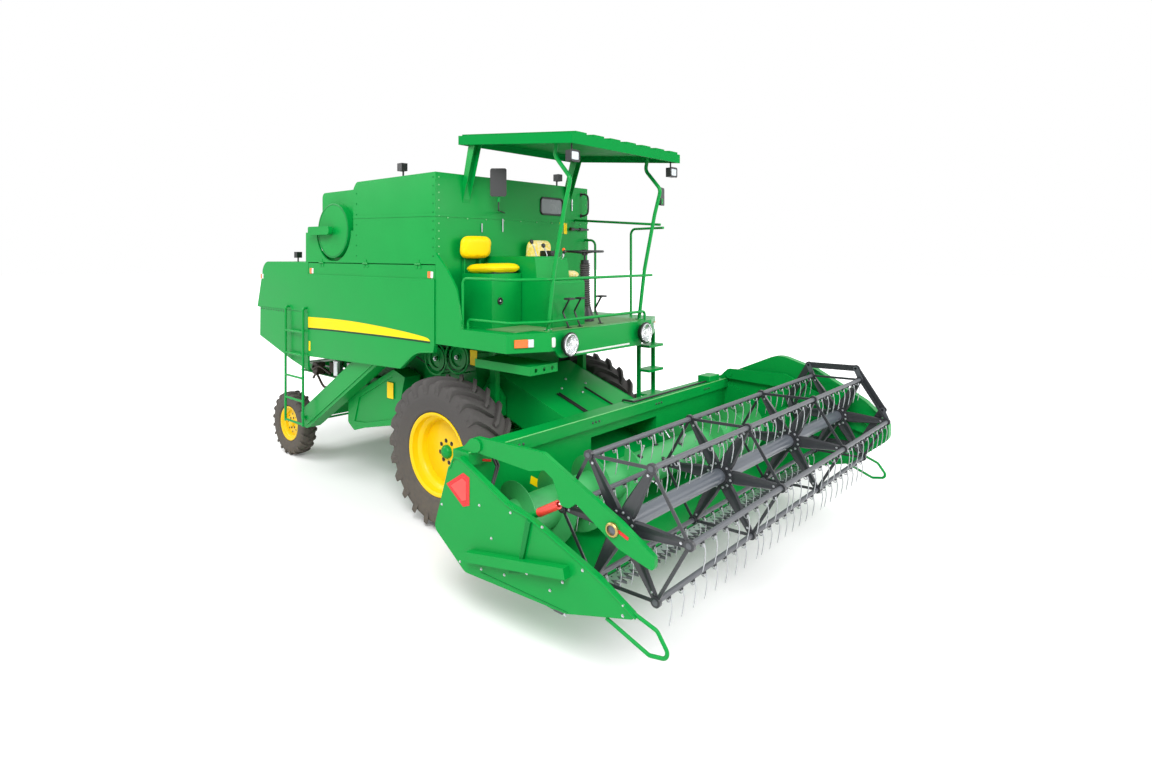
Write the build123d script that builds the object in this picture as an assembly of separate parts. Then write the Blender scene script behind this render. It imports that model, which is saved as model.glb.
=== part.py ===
from build123d import *
import math
import os

# Combine harvester with a tined reel header. Millimetres, +X forward, +Y to the machine's left, +Z up.
# Every size is first stated from the front axle: X = 0 over it, Y = 0 on the centre line, Z = 0 on ground.
# export_node() then moves each piece so that the origin lies under the middle of the whole machine.

# ---------------------------------------------------------------- wheels
FRONT_TYRE_R = 745.0        # over the lugs
FRONT_CARCASS_R = 708.0
FRONT_TYRE_HALF = 215.0
FRONT_WHEEL_Y = 1095.0      # wheel's middle plane
FRONT_RIM_FLANGE_R = 407.0
FRONT_RIM_SEAT_R = 381.0
FRONT_RIM_WELL_R = 330.0
FRONT_RIM_HALF = 195.0
FRONT_DISC_Y = 40.0         # disc's outer face, outboard of the middle plane
FRONT_HUB_R = 66.0
FRONT_LUGS = 23             # on each half of the tread
STUB_R = 45.0
REAR_AXLE_X = -3240.0
REAR_TYRE_R = 420.0
REAR_CARCASS_R = 402.0
REAR_TYRE_HALF = 105.0
REAR_WHEEL_Y = 975.0
REAR_RIM_FLANGE_R = 228.0
REAR_RIM_SEAT_R = 206.0
REAR_RIM_WELL_R = 176.0
REAR_RIM_HALF = 84.0
REAR_LUGS = 21
SPINDLE_R = 24.0
KINGPIN_Y = 740.0
KINGPIN_R = 22.0
STEER_ARM = 170.0           # kingpin to tie rod
RUN_FIT = 0.05              # radial clearance of a running fit
RIM_WALL = 10.0

# ---------------------------------------------------------------- body
BODY_HALF = 1260.0          # outer face of tank, hood and screen plate
CORE_HALF = 690.0           # threshing body between the frame rails
RAIL_W = 80.0
RAIL_LOW_Z = 1080.0
RAIL_TOP_Z = 1200.0
RAIL_REAR_X = -3420.0
RAIL_FRONT_X = 330.0
CORE_FRONT_X = -40.0
DECK_TOP_Z = 1990.0
DECK_DEPTH = 170.0
DECK_PLATE = 40.0
DECK_FRONT_X = 1080.0
DECK_CORNER_X = 900.0
DECK_CORNER_Y = 870.0
SHEET = 25.0
TANK_REAR_X = -1440.0
TANK_FRONT_X = -40.0
TANK_LOW_Z = 2600.0
TANK_TOP_Z = 3510.0
TANK_SEAM_Z = 3120.0
TANK_WALL = 30.0
DOOR_REAR_X = -2405.0
DOOR_FRONT_X = -45.0
DOOR_T = 40.0
DOOR_BULGE = 12.0
HINGE_GAP = 10.0
HINGE_PIN_R = 4.0
HINGE_R = 8.0
HINGE_Y = BODY_HALF + 10
HINGE_Z = TANK_LOW_Z - 3
HINGE_XS = (-300.0, -1200.0, -2100.0)
HOOD_FRONT_X = -2415.0
HOOD_SEAM_Z = 1980.0
SCREEN_X = -1838.0
SCREEN_Z = 2976.0
SCREEN_R = 320.0
SCREEN_PLATE_TOP_Z = 2966.0
SCREEN_PLATE_REAR_X = -2468.0

BELT_OUT = 110.0            # hull side to belt
BELT_PULLEYS = (
    # x, z, radius, shaft radius
    (-70.0 - 90.0, 1630.0, 130.0, 22.0),
    (-490.0, 1580.0, 130.0, 22.0),
    (-1250.0, 1900.0, 190.0, 25.0),
)

# ---------------------------------------------------------------- platform
CANOPY_REAR_X = -50.0
CANOPY_FRONT_X = 1375.0
CANOPY_REAR_Z = 3920.0
CANOPY_FRONT_Z = 3770.0
CANOPY_HALF = 940.0
CANOPY_SKIRT = 110.0
CANOPY_SHEET = 25.0
CANOPY_RIBS = 7
CANOPY_RIB = 20.0
POST_Y = 780.0
POST_R = 19.0
GUARD_R = 14.0
STEERING_X = 670.0
STEERING_Y = 222.0
STEERING_Z = 2727.0
STEERING_R = 200.0
MIRRORS = (
    # stalk's corners, glass middle, width, height, turn about Z in degrees
    (((-34.0, -270.0, 3150.0), (140.0, -545.0, 3150.0), (140.0, -545.0, 3330.0)), (150.0, -560.0, 3440.0),
     170.0, 290.0, -47.0),
    (((1205.0, 799.0, 3250.0), (1205.0, 870.0, 3250.0), (1195.0, 880.0, 3300.0)), (1190.0, 885.0, 3315.0),
     150.0, 190.0, 15.0),
)

# ---------------------------------------------------------------- feeder and header
PIVOT_X = 180.0
PIVOT_Z = 1290.0
PIVOT_R = 40.0
FEEDER_R = 180.0            # rounded rear end, and half the feeder's depth
FEEDER_HALF = 600.0
FEEDER_WALL = 30.0
FEEDER_SLOPE = 20.1         # degrees, nose down
HEADER_HALF = 2260.0
PANEL_Y = HEADER_HALF - 100         # inner face of the right end panel
LEFT_PANEL_Y = HEADER_HALF - 120
BEAM_REAR_X = 1180.0
BEAM_FRONT_X = 1350.0
BEAM_LOW_Z = 1130.0
BEAM_TOP_Z = 1230.0
AUGER_X = 1620.0
AUGER_Z = 750.0
AUGER_R = 280.0
AUGER_TUBE_R = 150.0
AUGER_SHAFT_R = 30.0
AUGER_HALF = LEFT_PANEL_Y - 85
FLIGHT_PITCH = 460.0
FLIGHT_STEPS = 20           # flat facets in one turn
FLIGHT_T = 6.0
FEED_HALF = 560.0           # middle of the auger, where fingers replace the flights
FINGER_R = 9.0
TROUGH_R = 310.0
TROUGH_SHEET = 20.0
CUTTER_X = 2200.0
CUTTER_Z = 400.0
REEL_X = 2567.0
REEL_Z = 1020.0
REEL_R = 454.0              # to the bats' axes
REEL_PHASE = 2.0            # degrees
REEL_BATS = 6
REEL_TUBE_R = 55.0
ARM_HALF = 56.0             # a spider arm's half width at its root
REEL_HALF = LEFT_PANEL_Y - 90
BAT_R = 17.5
CRANK_X = -45.0             # from each bat to the eccentric ring
CRANK_Z = 105.0
TINE_LENGTH = 192.0
TINE_PITCH = 152.0
COIL_R = 17.0
GUARD_PITCH = 76.2          # between guard fingers
GUARD_LENGTH = 85.0
REEL_PIVOT_X = 1400.0
REEL_PIVOT_Z = 1290.0
ARM_IN_Y = LEFT_PANEL_Y - 55
ARM_OUT_Y = LEFT_PANEL_Y - 20
SPIDER_Y = (20 - REEL_HALF, -REEL_HALF / 3, REEL_HALF / 3, REEL_HALF - 45)

HOSE_R = 9.0

# ---------------------------------------------------------------- cylinders
LIFT_BASE_X = 150.0
LIFT_BASE_Z = 700.0
LIFT_EYE_X = 900.0
LIFT_EYE_Z = 850.0
LIFT_Y = 660.0
REEL_CYL_BASE_X = 1700.0
REEL_CYL_BASE_Z = 787.0
REEL_CYL_EYE_X = 2200.0
REEL_CYL_EYE_Z = 1090.0
REEL_CYL_Y = (ARM_IN_Y + ARM_OUT_Y) / 2

# ---------------------------------------------------------------- unloading auger
UNLOAD_X = -360.0
UNLOAD_Y = BODY_HALF + 140
UNLOAD_Z = 3120.0
UNLOAD_R = 125.0
UNLOAD_REAR_X = -3150.0

FRONT_END_X = REEL_X + REEL_R * math.cos(math.radians(REEL_PHASE)) + 32
REAR_END_X = -3745.0
ORIGIN_X = (FRONT_END_X + REAR_END_X) / 2


# ================================================================ helpers
def outline(corners, place):
    """Closed wire through (a, b, radius) corners, with a tangent arc at each corner whose radius isn't 0."""
    bends = []
    for i, (a, b, radius) in enumerate(corners):
        here = Vector(a, b)
        to_last = (Vector(*corners[i - 1][:2]) - here).normalized()
        to_next = (Vector(*corners[(i + 1) % len(corners)][:2]) - here).normalized()
        half = math.radians(to_last.get_angle(to_next)) / 2
        reach = radius / math.tan(half)
        middle = here
        if radius:
            middle = here + (to_last + to_next).normalized() * (radius / math.sin(half) - radius)
        bends.append((here + to_last * reach, middle, here + to_next * reach, radius))
    edges = []
    for i, (start, middle, end, radius) in enumerate(bends):
        if radius:
            edges.append(ThreePointArc(place(start), place(middle), place(end)))
        following = bends[(i + 1) % len(bends)][0]
        if (following - end).length > 1e-6:
            edges.append(Line(place(end), place(following)))
    return Wire(edges)


def sharp(points):
    """The same points as corners with no radius."""
    return [(a, b, 0) for a, b in points]


def plate_y(corners, y0, y1):
    """Plate with an (x, z) outline, from y0 to y1."""
    return extrude(Face(outline(corners, lambda p: (p.X, y0, p.Y))), amount=y1 - y0, dir=(0, 1, 0))


def plate_x(corners, x0, x1):
    """Plate with a (y, z) outline, from x0 to x1."""
    return extrude(Face(outline(corners, lambda p: (x0, p.X, p.Y))), amount=x1 - x0, dir=(1, 0, 0))


def plate_z(corners, z0, z1):
    """Plate with an (x, y) outline, from z0 to z1."""
    return extrude(Face(outline(corners, lambda p: (p.X, p.Y, z0))), amount=z1 - z0, dir=(0, 0, 1))


def block(x0, x1, y0, y1, z0, z1):
    """Box between two corners."""
    return Pos((x0 + x1) / 2, (y0 + y1) / 2, (z0 + z1) / 2) * Box(abs(x1 - x0), abs(y1 - y0), abs(z1 - z0))


def rod(start, end, radius):
    """Round bar between two points."""
    along = Vector(*end) - Vector(*start)
    return Solid.make_cylinder(radius, along.length, Plane(origin=start, z_dir=along))


def across(x, z, y0, y1, radius):
    """Round bar along Y."""
    return rod((x, min(y0, y1), z), (x, max(y0, y1), z), radius)


def tube(points, radius, bend):
    """Round bar along straight runs joined by arcs."""
    path = FilletPolyline(*points, radius=bend)
    return sweep(Plane(origin=path @ 0, z_dir=path % 0) * Circle(radius), path=path)


def bar_y(start, end, width, y0, y1):
    """Flat bar between two (x, z) points, width wide, from y0 to y1."""
    run = Vector(*end) - Vector(*start)
    side = Vector(-run.Y, run.X).normalized() * (width / 2)
    a, b = Vector(*start), Vector(*end)
    corners = [a + side, b + side, b - side, a - side]
    return plate_y([(p.X, p.Y, 0) for p in corners], y0, y1)


def turned(profile, x, y, z):
    """Solid turned about a line along Y through (x, y, z), from (offset along Y, radius, fillet) corners."""
    face = Face(outline(profile, lambda p: (p.Y, p.X, 0)))
    return Pos(x, y, z) * revolve(face, Axis.Y)


def polar(x, z, radius, degrees):
    """Point on a circle in the X-Z plane."""
    angle = math.radians(degrees)
    return x + radius * math.cos(angle), z + radius * math.sin(angle)


def faceted(rows, closed):
    """Solid with flat faces between rows of points; the last row joins the first, or both ends are shut."""
    count = len(rows[0])
    faces = []
    pairs = list(zip(rows, rows[1:] + rows[:1])) if closed else list(zip(rows, rows[1:]))
    for here, there in pairs:
        for n in range(count):
            m = (n + 1) % count
            corners = [here[n], here[m], there[m], there[n]]
            flat = abs((corners[1] - corners[0]).cross(corners[2] - corners[0]).normalized().dot(
                corners[3] - corners[0])) < 1e-5
            loops = [corners] if flat else [corners[:3], [corners[0], corners[2], corners[3]]]
            faces += [Face(Wire.make_polygon(loop)) for loop in loops]
    if not closed:
        faces += [Face(Wire.make_polygon(row)) for row in (rows[0], rows[-1])]
    solid = Solid(Shell(faces))
    return solid if solid.volume > 0 else Solid(Shell([-face for face in faces]))


def flipped(shape):
    """The same piece on the machine's other side."""
    return mirror(shape, about=Plane.XZ)


# ================================================================ wheels
def around(y, radius, degrees):
    """Point at a distance along and from the Y axis."""
    angle = math.radians(degrees)
    return Vector(radius * math.cos(angle), y, radius * math.sin(angle))


def tyre_bar(radius, carcass, half, crown, hand, middle, lug_w, lug_lean, lug_past):
    """One slanted tread bar, from just past the centre line to the shoulder."""
    lean = math.degrees(lug_lean / radius)
    inner, outer = math.degrees(lug_w * 0.5 / radius), math.degrees(lug_w * 0.62 / radius)
    stations = [
        # y, top radius, foot radius, turn, half width in degrees
        (-lug_past * hand, radius, carcass - 24, 0, inner),
        (half * crown * hand, radius, carcass - 24, -lean * 0.5, inner),
        (half * hand, radius - 26, carcass - 70, -lean, outer),
    ]
    rows = []
    for y, top, foot, turn, wide in stations:
        at = middle + turn + lean * 0.5
        rows.append([around(y, foot, at - wide * 1.25), around(y, foot, at + wide * 1.25),
                     around(y, top, at + wide), around(y, top, at - wide)])
    return faceted(rows, False)


def tyre(radius, carcass, half, rim_seat, rim_flange, rim_half, lugs, lug_w, lug_lean, lug_past):
    """Agricultural tyre about the Y axis: many-sided carcass with slanted bars whose inner ends lead."""
    crown = 0.5
    sides = lugs * 2
    bead = (rim_seat + 1) / math.cos(math.pi / sides)
    profile = [(-(rim_half - 12), bead), (-(rim_half - 10), rim_flange + 6),
               (-half, (carcass + rim_flange) / 2),
               (-half * 0.88, carcass - 26), (-half * crown, carcass)]
    profile += [(-y, r) for y, r in reversed(profile)]
    rows = [[around(y, r, 360 * n / sides) for n in range(sides)] for y, r in profile]
    bars = []
    for number in range(lugs):
        for hand in (-1, 1):
            middle = 360 * (number + (0.5 if hand > 0 else 0)) / lugs
            bars.append(tyre_bar(radius, carcass, half, crown, hand, middle + 180, lug_w, lug_lean,
                                 lug_past))
    return faceted(rows, True).fuse(*bars).solid()


def front_tyre():
    return tyre(FRONT_TYRE_R, FRONT_CARCASS_R, FRONT_TYRE_HALF, FRONT_RIM_SEAT_R, FRONT_RIM_FLANGE_R,
                FRONT_RIM_HALF, FRONT_LUGS, 44, 215, 18)


def rear_tyre():
    return tyre(REAR_TYRE_R, REAR_CARCASS_R, REAR_TYRE_HALF, REAR_RIM_SEAT_R, REAR_RIM_FLANGE_R,
                REAR_RIM_HALF, REAR_LUGS, 26, 60, 6)


def rim(half, flange, seat, well, disc_y, disc_t, bore):
    """Turned steel rim with its disc, outboard side towards +Y."""
    outer = [(half, flange), (half - 8, flange), (half - 10, seat), (half * 0.62, seat - 4),
             (half * 0.42, well)]
    inner = [(-y, r) for y, r in reversed(outer)]
    under = [(-half, flange - 4), (-half, seat - RIM_WALL), (-half * 0.62, seat - RIM_WALL - 4),
             (-half * 0.42 - 4, well - RIM_WALL)]
    disc = [(disc_y - disc_t, well - RIM_WALL), (disc_y - disc_t, bore), (disc_y, bore),
            (disc_y, well - RIM_WALL)]
    upper = [(half * 0.42 + 4, well - RIM_WALL), (half * 0.62, seat - RIM_WALL - 4),
             (half, seat - RIM_WALL),
             (half, flange - 4)]
    return turned(sharp(outer + inner + under + disc + upper), 0, 0, 0)


def front_rim():
    return rim(FRONT_RIM_HALF, FRONT_RIM_FLANGE_R, FRONT_RIM_SEAT_R, FRONT_RIM_WELL_R, FRONT_DISC_Y, 14,
               FRONT_HUB_R) + front_hub()


def front_hub():
    """Drive hub that the disc is bolted to, running on the axle's stub."""
    profile = [(-70, STUB_R + RUN_FIT), (-70, 90), (FRONT_DISC_Y - 40, 90), (FRONT_DISC_Y - 40, 150),
               (FRONT_DISC_Y - 14, 150), (FRONT_DISC_Y - 14, FRONT_HUB_R), (FRONT_DISC_Y + 26, FRONT_HUB_R),
               (FRONT_DISC_Y + 44, FRONT_HUB_R - 16), (FRONT_DISC_Y + 58, 0), (FRONT_DISC_Y + 26, 0),
               (FRONT_DISC_Y + 26, STUB_R + RUN_FIT)]
    return turned(sharp(profile), 0, 0, 0)


def rear_rim():
    """Steered wheel's rim with its hub, running on the knuckle's spindle."""
    bore = SPINDLE_R + RUN_FIT
    hub = turned(sharp([(-70, bore), (-70, 52), (-10, 52), (-10, 70), (30, 70), (42, 52), (60, 44), (72, 0),
                        (40, 0), (40, bore)]), 0, 0, 0)
    return rim(REAR_RIM_HALF, REAR_RIM_FLANGE_R, REAR_RIM_SEAT_R, REAR_RIM_WELL_R, 30, 10, 60) + hub


def at_wheel(shape, x, y, radius):
    """Left wheel piece where it runs; the right one is its mirror."""
    return Pos(x, y, radius) * shape


# ================================================================ chassis
def rail():
    """Left channel rail, open outwards."""
    low, top = RAIL_LOW_Z, RAIL_TOP_Z
    section = [(CORE_HALF, low), (CORE_HALF + RAIL_W, low), (CORE_HALF + RAIL_W, low + 14),
               (CORE_HALF + 14, low + 14), (CORE_HALF + 14, top - 14), (CORE_HALF + RAIL_W, top - 14),
               (CORE_HALF + RAIL_W, top), (CORE_HALF, top)]
    return plate_x(sharp(section), RAIL_REAR_X, RAIL_FRONT_X)


def left_chassis():
    """Everything of the chassis that both sides have."""
    y0 = CORE_HALF + 10
    leg = block(-100, 100, y0, y0 + 60, FRONT_TYRE_R + 60, RAIL_LOW_Z)
    deck_post = block(RAIL_FRONT_X - 110, RAIL_FRONT_X - 30, y0, y0 + 60, RAIL_TOP_Z,
                      DECK_TOP_Z - DECK_PLATE)
    bracket = plate_y([(CORE_FRONT_X + 12, RAIL_LOW_Z, 0), (RAIL_FRONT_X, RAIL_LOW_Z, 0),
                       (RAIL_FRONT_X, RAIL_TOP_Z + 60, 0), (PIVOT_X + 70, PIVOT_Z + 80, 60),
                       (PIVOT_X - 70, PIVOT_Z + 80, 60), (CORE_FRONT_X + 12, RAIL_TOP_Z + 40, 0)],
                      FEEDER_HALF + 40, CORE_HALF)
    bracket -= across(PIVOT_X, PIVOT_Z, FEEDER_HALF, CORE_HALF + 10, PIVOT_R + RUN_FIT)
    drive = across(0, FRONT_TYRE_R, 780, 862, 165)
    stub = across(0, FRONT_TYRE_R, 862, FRONT_WHEEL_Y + FRONT_DISC_Y + 20, STUB_R)
    ear = plate_y([(60, LIFT_BASE_Z - 45, 0), (LIFT_BASE_X, LIFT_BASE_Z - 45, 0),
                   (LIFT_BASE_X + 45, LIFT_BASE_Z - 45, 44), (LIFT_BASE_X + 45, LIFT_BASE_Z + 45, 44),
                   (60, LIFT_BASE_Z + 45, 0)], LIFT_Y + 42, LIFT_Y + 62)
    pin = across(LIFT_BASE_X, LIFT_BASE_Z, LIFT_Y - 30, LIFT_Y + 45, 18)
    return rail() + leg + deck_post + bracket + drive + stub + ear + pin


def step_channel():
    """Box channel under the right side of the deck, with three holes in its front end."""
    low, top, wall = DECK_TOP_Z - 380, DECK_TOP_Z - 300, 8
    y0, y1 = 350 - BODY_HALF - 140, 600 - BODY_HALF
    whole = block(RAIL_FRONT_X - 30, 1000, y0, y1, low, top)
    whole -= block(RAIL_FRONT_X, 1000 - wall, y0 + wall, y1 - wall, low - 1, top - wall)
    for share in (0.2, 0.5, 0.8):
        y = y0 + (y1 - y0) * share
        whole -= rod((1000 - wall - 5, y, (low + top) / 2), (1005, y, (low + top) / 2), 20)
    return whole


def chassis_frame():
    left = left_chassis()
    beam = block(-80, 80, -790, 790, FRONT_TYRE_R - 80, FRONT_TYRE_R + 80)
    gearbox = plate_y([(-210, 640, 60), (150, 600, 60), (150, 900, 60), (-210, 900, 60)], -190, 190)
    cross = block(REAR_AXLE_X - 70, REAR_AXLE_X + 70, -CORE_HALF, CORE_HALF, RAIL_LOW_Z, RAIL_TOP_Z)
    hangers = [block(x, x + 20, -100, 100, 560, RAIL_LOW_Z) for x in (REAR_AXLE_X - 90, REAR_AXLE_X + 70)]
    hanger_feet = [block(x, x + 20, -100, 100, RAIL_LOW_Z, RAIL_LOW_Z + 60)
                   for x in (REAR_AXLE_X - 90, REAR_AXLE_X + 70)]
    oscillation_pin = rod((REAR_AXLE_X - 95, 0, 640), (REAR_AXLE_X + 95, 0, 640), 25)
    tail = block(RAIL_REAR_X, RAIL_REAR_X + 60, -CORE_HALF, CORE_HALF, RAIL_LOW_Z, RAIL_TOP_Z)
    hitch = block(RAIL_REAR_X - 150, RAIL_REAR_X, -60, 60, 1100, 1118)
    hitch += block(RAIL_REAR_X - 150, RAIL_REAR_X, -60, 60, 1162, 1180)
    hitch -= rod((RAIL_REAR_X - 95, 0, 1090), (RAIL_REAR_X - 95, 0, 1190), 16.5)
    whole = left + flipped(left) + beam + gearbox + cross + tail + hitch + oscillation_pin
    for piece in hangers + hanger_feet + [step_channel()]:
        whole += piece
    return whole


def rear_axle():
    """Beam on its middle pivot, with an eye for each kingpin."""
    beam = block(REAR_AXLE_X - 60, REAR_AXLE_X + 60, -700, 700, 440, 570)
    boss = rod((REAR_AXLE_X - 66, 0, 640), (REAR_AXLE_X + 66, 0, 640), 70)
    post = block(REAR_AXLE_X - 60, REAR_AXLE_X + 60, -110, 110, 560, 640)
    beam = beam + post + boss
    for side in (-1, 1):
        beam += rod((REAR_AXLE_X, side * KINGPIN_Y, 405), (REAR_AXLE_X, side * KINGPIN_Y, 575), 52)
    for side in (-1, 1):
        beam -= rod((REAR_AXLE_X, side * KINGPIN_Y, 400), (REAR_AXLE_X, side * KINGPIN_Y, 580),
                    KINGPIN_R + RUN_FIT)
    return beam - rod((REAR_AXLE_X - 80, 0, 640), (REAR_AXLE_X + 80, 0, 640), 25 + RUN_FIT)


def left_knuckle():
    """Forked knuckle with kingpin, spindle and steering arm."""
    x, y = REAR_AXLE_X, KINGPIN_Y
    ears = [plate_z([(x - 55, y - 45, 40), (x + 55, y - 45, 40), (x + 55, y + 90, 0),
                     (x - 55, y + 90, 0)], z, z + 26)
            for z in (378 - 5, 580)]
    web = block(x - 55, x + 55, y + 62, y + 90, 373, 606)
    kingpin = rod((x, y, 373), (x, y, 606), KINGPIN_R)
    spindle = across(x, REAR_TYRE_R, y + 62, REAR_WHEEL_Y + 36, SPINDLE_R)
    arm = plate_z([(x - 40, y - 30, 0), (x - 40, y + 30, 0), (x - STEER_ARM - 30, y + 30, 28),
                   (x - STEER_ARM - 30, y - 30, 28)], 373, 399)
    stud = rod((x - STEER_ARM, y, 330), (x - STEER_ARM, y, 380), 12)
    return ears[0] + ears[1] + web + kingpin + spindle + arm + stud


def tie_rod():
    """Track rod under the steering arms, an eye on each stud."""
    x = REAR_AXLE_X - STEER_ARM
    whole = rod((x, -KINGPIN_Y + 20, 350), (x, KINGPIN_Y - 20, 350), 15)
    for side in (-1, 1):
        whole += rod((x, side * KINGPIN_Y, 336), (x, side * KINGPIN_Y, 364), 30)
    for side in (-1, 1):
        whole -= rod((x, side * KINGPIN_Y, 320), (x, side * KINGPIN_Y, 370),
                     12 + (RUN_FIT if side > 0 else 3))
    return whole


# ================================================================ body
def threshing_body():
    """Closed hull round drum, walkers and sieves, with the fan's drum under it."""
    hull = plate_y([
        (CORE_FRONT_X, 1060, 60), (CORE_FRONT_X, DECK_TOP_Z, 0), (CORE_FRONT_X - TANK_WALL, DECK_TOP_Z, 0),
        (CORE_FRONT_X - TANK_WALL, TANK_LOW_Z, 0), (-2380, TANK_LOW_Z, 0), (-2380, 2300, 0),
        (-2700, 2200, 0),
        (-2700, 1430, 0), (-2480, 1240, 120), (-2250, 980, 150), (-1950, 690, 120), (-1050, 780, 200),
        (-560, 900, 120)], -CORE_HALF, CORE_HALF)
    return hull + across(-760, 900, -CORE_HALF + 30, CORE_HALF - 30, 270)


def belt_guard(side, x, z, radius):
    """Hoop on three stays out of the hull's side, round a pulley."""
    y = side * (CORE_HALF + BELT_OUT + 60)
    hoop = turned(sharp([(-12, radius - 8), (-12, radius + 8), (12, radius + 8), (12, radius - 8)]), x, y,
                  z)
    for degrees in (40, 160, 280):
        hoop += across(*polar(x, z, radius, degrees), side * CORE_HALF, y, 7)
    return hoop


def drive_belts():
    """Pulleys on shafts out of the hull's sides, each pair in its belt, and hoops round the front two."""
    whole = [belt_guard(side, x, z, r + 38) for side in (-1, 1) for x, z, r, _ in BELT_PULLEYS[:2]]
    for side in (-1, 1):
        y0, y1 = side * CORE_HALF, side * (CORE_HALF + BELT_OUT)
        y2 = side * (CORE_HALF + BELT_OUT + 50)
        set_ = None
        for x, z, r, shaft in BELT_PULLEYS:
            pulley = across(x, z, y1, y2, r) + across(x, z, y0, side * (CORE_HALF + BELT_OUT + 65), shaft)
            set_ = pulley if set_ is None else set_ + pulley
        for a, b in ((0, 1), (1, 2)):
            (xa, za, ra, _), (xb, zb, rb, _) = BELT_PULLEYS[a], BELT_PULLEYS[b]
            run = Vector(xb - xa, zb - za)
            away = Vector(-run.Y, run.X).normalized()
            for hand in (-1, 1):
                start = Vector(xa, za) + away * (ra - 9) * hand
                end = Vector(xb, zb) + away * (rb - 9) * hand
                set_ += bar_y((start.X, start.Y), (end.X, end.Y), 18, y1 + side * 12, y2 - side * 12)
        whole.append(set_)
    return Compound(children=whole)


def elevator(centre_y, half_y, depth):
    """Leaning chain elevator with a rounded boot, behind the side door at its top."""
    low_x, low_z, lean, length = -2560, 645, 33.5, 2080
    c, s = math.cos(math.radians(lean)), math.sin(math.radians(lean))
    a = Vector(low_x, low_z)
    along, up = Vector(c, s), Vector(-s, c)
    points = [(a - along * depth + up * depth, depth * 0.85),
              (a - along * depth - up * depth, depth * 0.85),
              (a + along * length - up * depth, 0), (a + along * length + up * depth, 0)]
    return plate_y([(p.X, p.Y, f) for p, f in points], centre_y - half_y, centre_y + half_y)


def right_elevator():
    """Elevator with its raised chain cover and boot shaft, and the grain pan's side housing."""
    middle = 150 - BODY_HALF
    side = plate_y([(-1770, 1040, 0), (-1040, 1410, 0), (-840, 1350, 0), (-990, 800, 30), (-1580, 660, 0),
                    (-1800, 590, 40), (-1930, 670, 40), (-1920, 950, 40)], -1000, -CORE_HALF - RAIL_W)
    side -= plate_y(sharp([(-1700, 1000), (-1060, 1330), (-930, 1290), (-1060, 850), (-1580, 720),
                           (-1800, 700)]),
                    -1010, -985)
    leg = elevator(middle, 90, 125) + elevator(middle - 6, 96, 88)
    leg += across(-2560, 645, middle - 125, middle + 100, 24)
    return Compound(children=[leg, side])


def grain_tank():
    """Open hopper with sloping floor; its front wall runs down to the deck behind the seats."""
    w = TANK_WALL
    shell = plate_y([(TANK_REAR_X, TANK_LOW_Z, 0), (TANK_FRONT_X, TANK_LOW_Z, 0),
                     (TANK_FRONT_X, TANK_TOP_Z, 0),
                     (TANK_REAR_X + 60, TANK_TOP_Z, 60), (TANK_REAR_X, TANK_TOP_Z - 70, 60)],
                    -BODY_HALF, BODY_HALF)
    seam = plate_y([(TANK_REAR_X + 4, TANK_SEAM_Z - 18, 0), (TANK_FRONT_X + 5, TANK_SEAM_Z - 48, 0),
                    (TANK_FRONT_X + 5, TANK_SEAM_Z - 16, 0), (TANK_REAR_X + 4, TANK_SEAM_Z + 14, 0)],
                   -BODY_HALF - 5, BODY_HALF + 5)
    shell += seam
    skirt = BODY_HALF - DOOR_T - 5
    shell += block(TANK_FRONT_X - w, TANK_FRONT_X, -skirt, skirt, DECK_TOP_Z, TANK_LOW_Z)
    inside = BODY_HALF - w
    floor = inside - 880
    hopper = plate_x(sharp([(-inside, TANK_TOP_Z + 10), (-inside, 3000), (-floor, TANK_LOW_Z + 40),
                            (floor, TANK_LOW_Z + 40), (inside, 3000), (inside, TANK_TOP_Z + 10)]),
                     TANK_REAR_X + w, TANK_FRONT_X - w)
    window = plate_x([(350, 3160, 45), (760, 3160, 45), (760, 3350, 45), (350, 3350, 45)],
                     TANK_FRONT_X - w - 5, TANK_FRONT_X + 10)
    whole = shell - hopper - window + auger_turret()
    for x in HINGE_XS[:2]:
        whole += fixed_hinges(x)
    return whole


def fixed_hinges(x):
    """Middle knuckle and pin of the door hinges at x, on both sides."""
    right = rod((x - 14, -HINGE_Y, HINGE_Z), (x + 14, -HINGE_Y, HINGE_Z), HINGE_R)
    right += block(x - 14, x + 14, -BODY_HALF - 5, -BODY_HALF, HINGE_Z + 3, HINGE_Z + 45)
    right += rod((x - 45, -HINGE_Y, HINGE_Z), (x + 45, -HINGE_Y, HINGE_Z), HINGE_PIN_R)
    return right + flipped(right)


def door_hinges():
    """Outer knuckles of the right door's hinges with their leaves."""
    whole = []
    for x in HINGE_XS:
        for x0, x1 in ((x - 44, x - 15), (x + 15, x + 44)):
            knuckle = rod((x0, -HINGE_Y, HINGE_Z), (x1, -HINGE_Y, HINGE_Z), HINGE_R)
            knuckle += block(x0, x1, -BODY_HALF - 5, -BODY_HALF, HINGE_Z - 45, HINGE_Z - 3)
            whole.append(knuckle - rod((x0 - 1, -HINGE_Y, HINGE_Z), (x1 + 1, -HINGE_Y, HINGE_Z),
                                       HINGE_PIN_R + RUN_FIT))
    return whole


def tank_window():
    return plate_x([(351, 3161, 44), (759, 3161, 44), (759, 3349, 44), (351, 3349, 44)],
                   TANK_FRONT_X - 18, TANK_FRONT_X - 8)


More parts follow.
